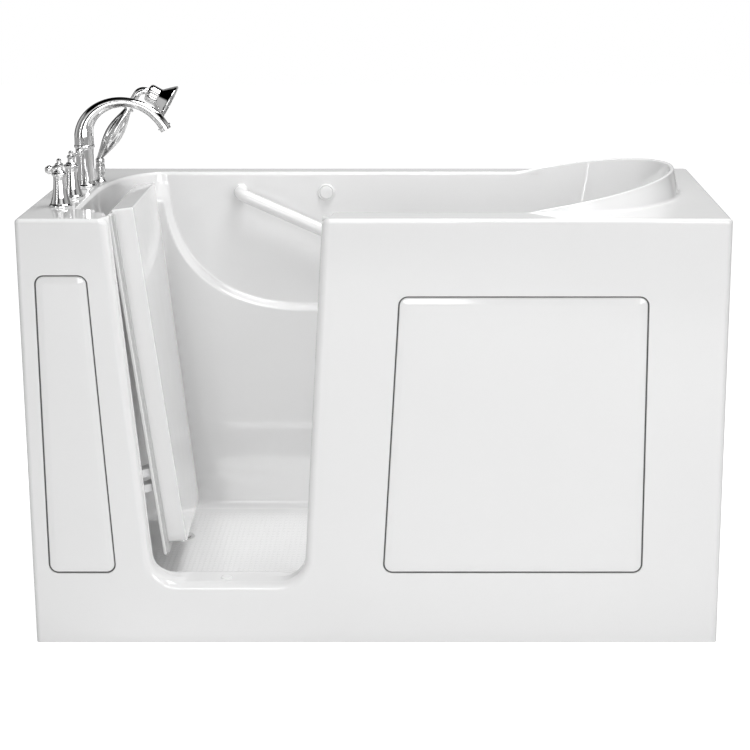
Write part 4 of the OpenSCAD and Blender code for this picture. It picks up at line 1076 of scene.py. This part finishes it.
def grip():
    skin = Skin(50)
    base = on_deck(SHOWER, 28)
    rows = [ring_at(base + Vector((0, 0, h)), (0, 0, 1), (0, 1, 0), r, 96) for h, r in
            ((0.0, 6.5), (24.3, 6.5), (24.3, 9.6), (25.0, 10.5), (28.4, 10.5), (29.2, 9.8), (29.6, 8.8), (31.0, 8.3))]
    for t in (i / 60 for i in range(61)):
        depth = 0.16 * smooth(0.02, 0.35, t) * (1 - smooth(0.72, 1.0, t))
        flute = (lambda b, depth=depth: 1.0 - depth * abs(math.cos(3.5 * b)) ** 1.5)
        rows.append(ring_at(GRIP_FROM + GRIP_WAY * (GRIP_L * t), leaning(LEAN * min(1.0, 0.5 + 5 * t)), (0, 1, 0),
                            grip_radius(t), 96, flute))
    swept(skin, rows)
    skin.mesh("shower_grip_skin", CHROME, "hand_shower", ("shower_handle",), "chrome")


def neck_point(k):
    """The neck's middle line where it leans by k."""
    return (GRIP_END + NECK_L * GRIP_WAY
            + NECK_R * Vector((math.cos(LEAN) - math.cos(k), 0, math.sin(k) - math.sin(LEAN))))


def neck():
    skin = Skin(50)
    rows = [ring_at(GRIP_END + GRIP_WAY * h, GRIP_WAY, (0, 1, 0), r, 56) for h, r in
            ((0.0, 9.2), (0.0, 12.2), (0.8, 13.0), (2.8, 13.0), (3.7, 12.0), (4.4, 9.6), (6.5, 8.9), (24.0, 8.7))]
    for k in (LEAN + (HEAD_LEAN - LEAN) * i / 32 for i in range(33)):
        rows.append(ring_at(neck_point(k), leaning(k), (0, 1, 0), 8.7, 56))
    swept(skin, rows)
    skin.mesh("shower_neck_skin", CHROME, "hand_shower", ("shower_neck",), "chrome")


grip()
neck()
HEAD_AT = neck_point(HEAD_LEAN)
turned_part("shower_head_skin", "shower_head", CHROME, "chrome", HEAD_AT, 3.0, [
    (0.01, 0), (13, 0), (18.5, 1.6), (21.2, 5), (21.8, 9), (21.8, 27), (22.6, 30), (26.5, 34), (HEAD_R - 10.5, 43),
    (HEAD_R - 2, 52.5), (HEAD_R, 55.5), (HEAD_R, 57), (HEAD_R - 1, 58.5), (HEAD_R - 3.5, 58.5), (HEAD_R - 4, 57.4),
    (HEAD_R - 4, 52.6)], "hand_shower", HEAD_WAY, 96)
turned_part("spray_plate_skin", "spray_face", PLATE, "spray_plate", HEAD_AT, 0.5, [
    (HEAD_R - 4.3, 52.6), (HEAD_R - 4.3, 56.6), (HEAD_R - 5, 57.3), (HEAD_R - 9, FACE_H), (0.01, FACE_H)],
    "hand_shower", HEAD_WAY, 96)
print("hand shower's head at", [round(c, 1) for c in HEAD_AT])


# %% [markdown]
# Two node trees repeat a small part: the spray plate's nozzles on rings, and the floor's
# dots on a grid that leaves out the drain. Each tree runs once and leaves a plain mesh.


# %% Nozzles and grip dots
def nozzles_on_rings(tree, given):
    """Four rings of 6, 12, 18 and 24 nozzles."""
    top = calc(tree, "MULTIPLY", given["Nozzle Radius"], 0.7)
    nozzle = put(tree, "GeometryNodeMeshCone", "Mesh", {
        "Vertices": 16, "Side Segments": 2, "Radius Bottom": given["Nozzle Radius"], "Radius Top": top,
        "Depth": given["Nozzle Height"]})
    rings = [put(tree, "GeometryNodeMeshCircle", "Mesh", {
        "Vertices": 6 * k, "Radius": calc(tree, "MULTIPLY", given["Ring Step"], float(k))}) for k in range(1, 5)]
    return {"Points": put(tree, "GeometryNodeJoinGeometry", "Geometry", {"Geometry": rings}), "Instance": nozzle}


def dots_on_a_grid(tree, given):
    """Flat dots at even steps, except within Clear Radius of Clear Place."""
    counts = [put(tree, "FunctionNodeFloatToInt", "Integer", {
        "Float": calc(tree, "DIVIDE", given[side], given["Pitch"])}) for side in ("Width", "Depth")]
    grid = put(tree, "GeometryNodeMeshGrid", "Mesh", {
        "Size X": given["Width"], "Size Y": given["Depth"], "Vertices X": counts[0], "Vertices Y": counts[1]})
    spot = put(tree, "GeometryNodeInputPosition", "Position")
    far = put(tree, "ShaderNodeVectorMath", "Value", {0: spot, 1: given["Clear Place"]}, operation="DISTANCE")
    near = put(tree, "FunctionNodeCompare", "Result", {"A": far, "B": given["Clear Radius"]},
               data_type="FLOAT", operation="LESS_THAN")
    kept = put(tree, "GeometryNodeDeleteGeometry", "Geometry", {"Geometry": grid, "Selection": near}, domain="POINT")
    ball = put(tree, "GeometryNodeMeshUVSphere", "Mesh", {"Segments": 12, "Rings": 6})
    size = put(tree, "ShaderNodeCombineXYZ", "Vector", {
        "X": given["Dot Radius"], "Y": given["Dot Radius"], "Z": given["Dot Height"]})
    return {"Points": kept, "Instance": put(tree, "GeometryNodeSetShadeSmooth", "Geometry", {"Geometry": ball}),
            "Scale": size}


def grown_field(name, repeat, sizes, mat, body):
    """Builds a tree round a function that says what is repeated where, and keeps its result as a mesh."""
    tree, given, result = new_group(name + " field", {"Geometry": "Geometry", **sizes, "Material": "Material"},
                                    {"Geometry": "Geometry"}, "Geometry")
    many = put(tree, "GeometryNodeInstanceOnPoints", "Instances", repeat(tree, given))
    moved = put(tree, "GeometryNodeTransform", "Geometry", {
        "Geometry": many, "Translation": given["Place"], "Rotation": given["Turn"]})
    real = put(tree, "GeometryNodeRealizeInstances", "Geometry", {"Geometry": moved})
    feed(tree, result, {"Geometry": put(tree, "GeometryNodeSetMaterial", "Geometry", {
        "Geometry": real, "Material": given["Material"]})})
    seed = added(name + "_seed", bpy.data.meshes.new(name + "_seed"))
    run = seed.modifiers.new("field", "NODES")
    run.node_group = tree
    for item in tree.interface.items_tree:
        if item.in_out == "INPUT" and item.name != "Geometry":
            run[item.identifier] = mat if item.name == "Material" else sizes[item.name]
    grown = bpy.data.meshes.new_from_object(seed.evaluated_get(bpy.context.evaluated_depsgraph_get()))
    bpy.data.objects.remove(seed)
    grown.name = name
    dress(added(name, grown), body)
    print(name, "has", len(grown.polygons), "faces")


grown_field("spray_nozzles", nozzles_on_rings, {
    "Ring Step": 0.008, "Nozzle Radius": 0.0018, "Nozzle Height": 0.0012,
    "Place": tuple((HEAD_AT + HEAD_WAY * FACE_H) * MM), "Turn": (0.0, HEAD_LEAN, 0.0)}, NOZZLE, "hand_shower")
grown_field("floor_grip_dots", dots_on_a_grid, {
    "Width": 0.53, "Depth": 0.46, "Pitch": 0.0118, "Dot Radius": 0.0034, "Dot Height": 0.00014,
    "Clear Place": (-0.225, 0.05, 0.0), "Clear Radius": 0.055, "Place": (-0.265, 0.010, FLOOR * MM),
    "Turn": (0.0, 0.0, 0.0)}, GEL, "tub")

# %% [markdown]
# ## Fittings inside the tub

# %% Grab bar, button, drain and cap
BAR_AT, BAR_L, BAR_R, BAR_OFF, BAR_SLOPE = Vector((-347, 263, 912)), 460.0, 15.0, 50.0, math.radians(24)
BAR_DIR = Vector((math.cos(BAR_SLOPE), 0, -math.sin(BAR_SLOPE)))
TO_FRONT = (0, -1, 0)
BUTTON = (-136.0, RIM_B, 908.0)


def grab_bar():
    bend, foot = BAR_R * 1.6, BAR_OFF - 6.3
    path = [(BAR_AT + Vector((0, foot - k * (foot - bend) / 2, 0)), Vector(TO_FRONT)) for k in range(3)]
    for c, s in arc(0, 90, 16, 1):
        path.append((BAR_AT + Vector((0, bend - bend * s, 0)) + BAR_DIR * (bend - bend * c),
                     BAR_DIR * s + Vector((0, -c, 0))))
    near = list(path)
    path += [(BAR_AT + BAR_DIR * (bend + (BAR_L - 2 * bend) * i / 20), BAR_DIR) for i in range(1, 20)]
    # the far end mirrors the near one
    for p, d in reversed(near):
        path.append((p + BAR_DIR * (BAR_L - 2 * (p - BAR_AT).dot(BAR_DIR)),
                     BAR_DIR * d.dot(BAR_DIR) + Vector((0, -d.y, 0))))
    skin = Skin()
    swept(skin, [ring_at(p, d, leaning(BAR_SLOPE), BAR_R, 48) for p, d in path])
    skin.mesh("grab_bar_skin", ACRYLIC, "tub", ("grab_bar",), "gelcoat")
    skin = Skin()
    for p in (BAR_AT, BAR_AT + BAR_DIR * BAR_L):
        skin.lathe(soften([(5.1, 0), (17, 0), (17, 4.4), (16.2, 5.7), (15.2, 6), (5.1, 6)], 0.9), 64,
                   turned((p.x, RIM_B, p.z), TO_FRONT))
    skin.mesh("grab_bar_flange_skin", ACRYLIC, "tub", ("grab_bar_flanges",), "gelcoat")


grab_bar()
turned_part("button_bezel_skin", "button_bezel", ACRYLIC, "gelcoat", BUTTON, 0.8, [
    (19, -12.8), (19, 0), (20.5, 0.2), (20.5, 5.6), (19.6, 7.4), (18.4, 8.0), (17.2, 8.0), (16.3, 7.2),
    (16.3, -9.5)], axis=TO_FRONT)
turned_part("drain_button_skin", "drain_button", ACRYLIC, "gelcoat", BUTTON, 1.4, [
    (16, -5), (16, 8.2), (15.2, 9.4), (13.6, 9.9), (8, 9.7), (4, 9.5), (0.01, 9.4)], "drain_push", TO_FRONT)
turned_part("drain_flange_skin", "drain_flange", CHROME, "chrome", DRAIN, 0.5, [
    (14, -27.8), (17, -10), (17, 0.0), (34, 0.0), (34, 1.2), (32, 2.5), (18, 2.5), (15, 1.2), (14, 0), (14, -27.8)])
turned_part("drain_stopper_skin", "drain_stopper", CHROME, "chrome", DRAIN, 0.6, [
    (4, -11), (4, 2.8), (25.5, 2.8), (26, 3.4), (26, 5.2), (24.8, 6.6), (20, 8.3), (0.01, 8.3)], "drain_plug")
turned_part("threshold_cap_skin", "threshold_cap", ACRYLIC, "gelcoat", (way_l(SILL) + 160, Y_F + 40, SILL), 0.6, [
    (13.5, 0), (13.5, 1.2), (12.8, 2.0), (10, 3.0), (0.01, 3.0)])
print("fittings done")

# %% [markdown]
# ## Frame, pipes and small metal parts
# These keep the construction's own shapes and get their materials.

# %% Carried-over parts
KEPT = {
    ZINC: ("base_rails", "cross_rails", "frame_posts", "deck_bearers", "seat_legs", "hinge_pins"),
    STEEL: ("left_panel_studs", "right_panel_studs", "foot_nuts", "latch_spindle", "grab_bar_bolts", "hot_stem",
            "cold_stem", "deck_nuts"),
    RUBBER: ("floor_pads", "levelling_feet"),
    ACRYLIC: ("hinge_brackets", "hinge_arms"),
    CHROME: ("latch_handle", "latch_cam", "latch_escutcheon", "latch_keeper"),
    SEAL: ("door_gasket",),
    PIPE: ("overflow_pipe", "waste_pipe"),
    BRASS: ("valve_manifold",),
    COPPER: ("hot_supply_pipe", "cold_supply_pipe"),
}
for mat, names in KEPT.items():
    for name in names:
        mesh = frame["nodes"][name].data
        mesh.materials.clear()
        mesh.materials.append(mat)
print("kept parts:", sum(len(n) for n in KEPT.values()))

# %% [markdown]
# ## Floor, light and camera
# The camera sees the floor and the world as plain white. Reflections see a darker floor
# and a toned surround, which gives the chrome its contrast.


# %% Floor
def ray_kinds(tree):
    """Whether a ray comes from the camera or through glass, and whether it is a reflection."""
    ray = tree.nodes.new("ShaderNodeLightPath").outputs
    return calc(tree, "MAXIMUM", ray["Is Camera Ray"], ray["Is Transmission Ray"]), ray["Is Glossy Ray"]


def floor(half):
    mesh = bpy.data.meshes.new("studio_floor")
    mesh.from_pydata([(-half, -half, 0), (half, -half, 0), (half, half, 0), (-half, half, 0)], [], [(0, 1, 2, 3)])
    mat = bpy.data.materials.new("studio floor")
    mat.use_nodes = True
    tree = mat.node_tree
    seen, glossy = ray_kinds(tree)
    feed(tree, tree.nodes["Principled BSDF"].inputs, {
        "Base Color": grey(0.9), "Roughness": 0.8, "Emission Color": grey(1.0),
        "Emission Strength": calc(tree, "MULTIPLY_ADD", glossy, 0.12, calc(tree, "MULTIPLY", seen, 0.80))})
    mesh.materials.append(mat)
    added("studio_floor", mesh)


floor(12.0)
print("floor done")


# %% Surround and world
def studio_surround():
    """A group that gives what polished metal sees: bright and dark sectors at eye height
    and below, and one bright panel above the tub's back."""
    tree, _, result = new_group("studio surround", {}, {"Colour": "Color"})
    way = put(tree, "ShaderNodeTexCoord", "Generated")
    x, y, z = (put(tree, "ShaderNodeSeparateXYZ", axis, {0: way}) for axis in "XYZ")
    angle = calc(tree, "ARCTAN2", x, calc(tree, "MULTIPLY", y, -1.0))
    turn = put(tree, "ShaderNodeMapRange", "Result", {"Value": angle, "From Min": -math.pi, "From Max": math.pi})

    def ramp(source, stops):
        out = put(tree, "ShaderNodeValToRGB", "Color", {"Fac": source})
        marks = out.node.color_ramp.elements
        marks[0].color, marks[1].color = grey(stops[0][1]), grey(stops[-1][1])
        for at, value in stops[1:-1]:
            marks.new(at).color = grey(value)
        return out

    def by_angle(*stops):
        return ramp(turn, [(0.5 + degrees / 360.0, value) for degrees, value in stops])

    def mixed(kind, one, two):
        return put(tree, "ShaderNodeMix", "Result", {"Factor": 1.0, "A": one, "B": two}, data_type="RGBA",
                   blend_type=kind)

    sectors = by_angle((-180, 0.45), (-175, 0.45), (-164, 0.30), (-152, 0.35), (-147, 0.05), (-120, 0.10),
                       (-113, 0.52), (-88, 0.60), (-80, 0.26), (-52, 0.24), (-46, 0.72), (-30, 0.85), (-26, 0.04),
                       (-9, 0.05), (-5, 0.50), (7, 0.55), (10, 1.0), (32, 1.0), (37, 0.06), (54, 0.10), (62, 0.42),
                       (100, 0.52), (108, 0.26), (134, 0.24), (142, 0.06), (148, 0.45), (180, 0.45))
    low = ramp(z, [(0.0, 1.0), (0.50, 1.0), (0.60, 0.0), (1.0, 0.0)])
    panel = by_angle((-180, 0.0), (-42, 0.0), (-38, 1.0), (38, 1.0), (42, 0.0), (180, 0.0))
    high = ramp(z, [(0.0, 0.0), (0.44, 0.0), (0.49, 0.85), (0.70, 0.7), (0.76, 0.10), (1.0, 0.06)])
    feed(tree, result, {"Colour": mixed("LIGHTEN", mixed("MULTIPLY", sectors, low), mixed("MULTIPLY", panel, high))})
    return tree


def world(ambient):
    studio = bpy.data.worlds.new("studio")
    bpy.context.scene.world = studio
    studio.use_nodes = True
    tree = studio.node_tree
    seen, glossy = ray_kinds(tree)
    strength = put(tree, "ShaderNodeMapRange", "Result", {"Value": seen, "To Min": ambient, "To Max": 1.0})
    even = put(tree, "ShaderNodeCombineColor", "Color", {"Red": strength, "Green": strength, "Blue": strength})
    surround = put(tree, "ShaderNodeGroup", "Colour", node_tree=studio_surround())
    feed(tree, tree.nodes["Background"].inputs, {"Color": put(tree, "ShaderNodeMix", "Result", {
        "Factor": glossy, "A": even, "B": surround}, data_type="RGBA")})


world(0.29)
print("world done")


# %% Lamps
def lamp(name, at, look, size, power):
    data = bpy.data.lights.new(name, "AREA")
    data.shape, data.size, data.size_y, data.energy = "RECTANGLE", size[0], size[1], power
    obj = added(name, data)
    obj.location = at
    obj.rotation_euler = (Vector(look) - Vector(at)).to_track_quat("-Z", "Y").to_euler()
    obj.visible_camera = False


lamp("wide bar over the camera", (0.0, -3.0, 3.4), (0, 0, 0.6), (4.6, 0.08), 7)
lamp("tall strip at the left", (-3.3, -2.9, 1.3), (-0.1, 0, 0.6), (0.07, 2.6), 6)
lamp("soft box in front", (-0.5, -4.8, 1.4), (-0.35, 0, 0.35), (1.6, 1.4), 33)
lamp("soft box at the right", (1.7, -3.4, 1.5), (-0.4, 0, 0.4), (1.6, 1.4), 32)
lamp("soft box overhead", (0.35, -0.2, 3.0), (-0.15, 0, 0.3), (1.6, 1.0), 45)
print("lamps:", len(bpy.data.lights))

# %% Camera
cam = bpy.data.cameras.new("photo_camera")
cam.lens, cam.sensor_width = 92.209, 36.0
cam.shift_x, cam.shift_y = -0.0710, 0.0103
camera = added("photo_camera", cam)
camera.location = (0.115655, -4.399935, 1.639979)
camera.rotation_euler = (math.radians(75.5055), 0, 0)
bpy.context.scene.camera = camera
bpy.context.scene.view_settings.view_transform = "Standard"
print("camera at", [round(c, 3) for c in camera.location])
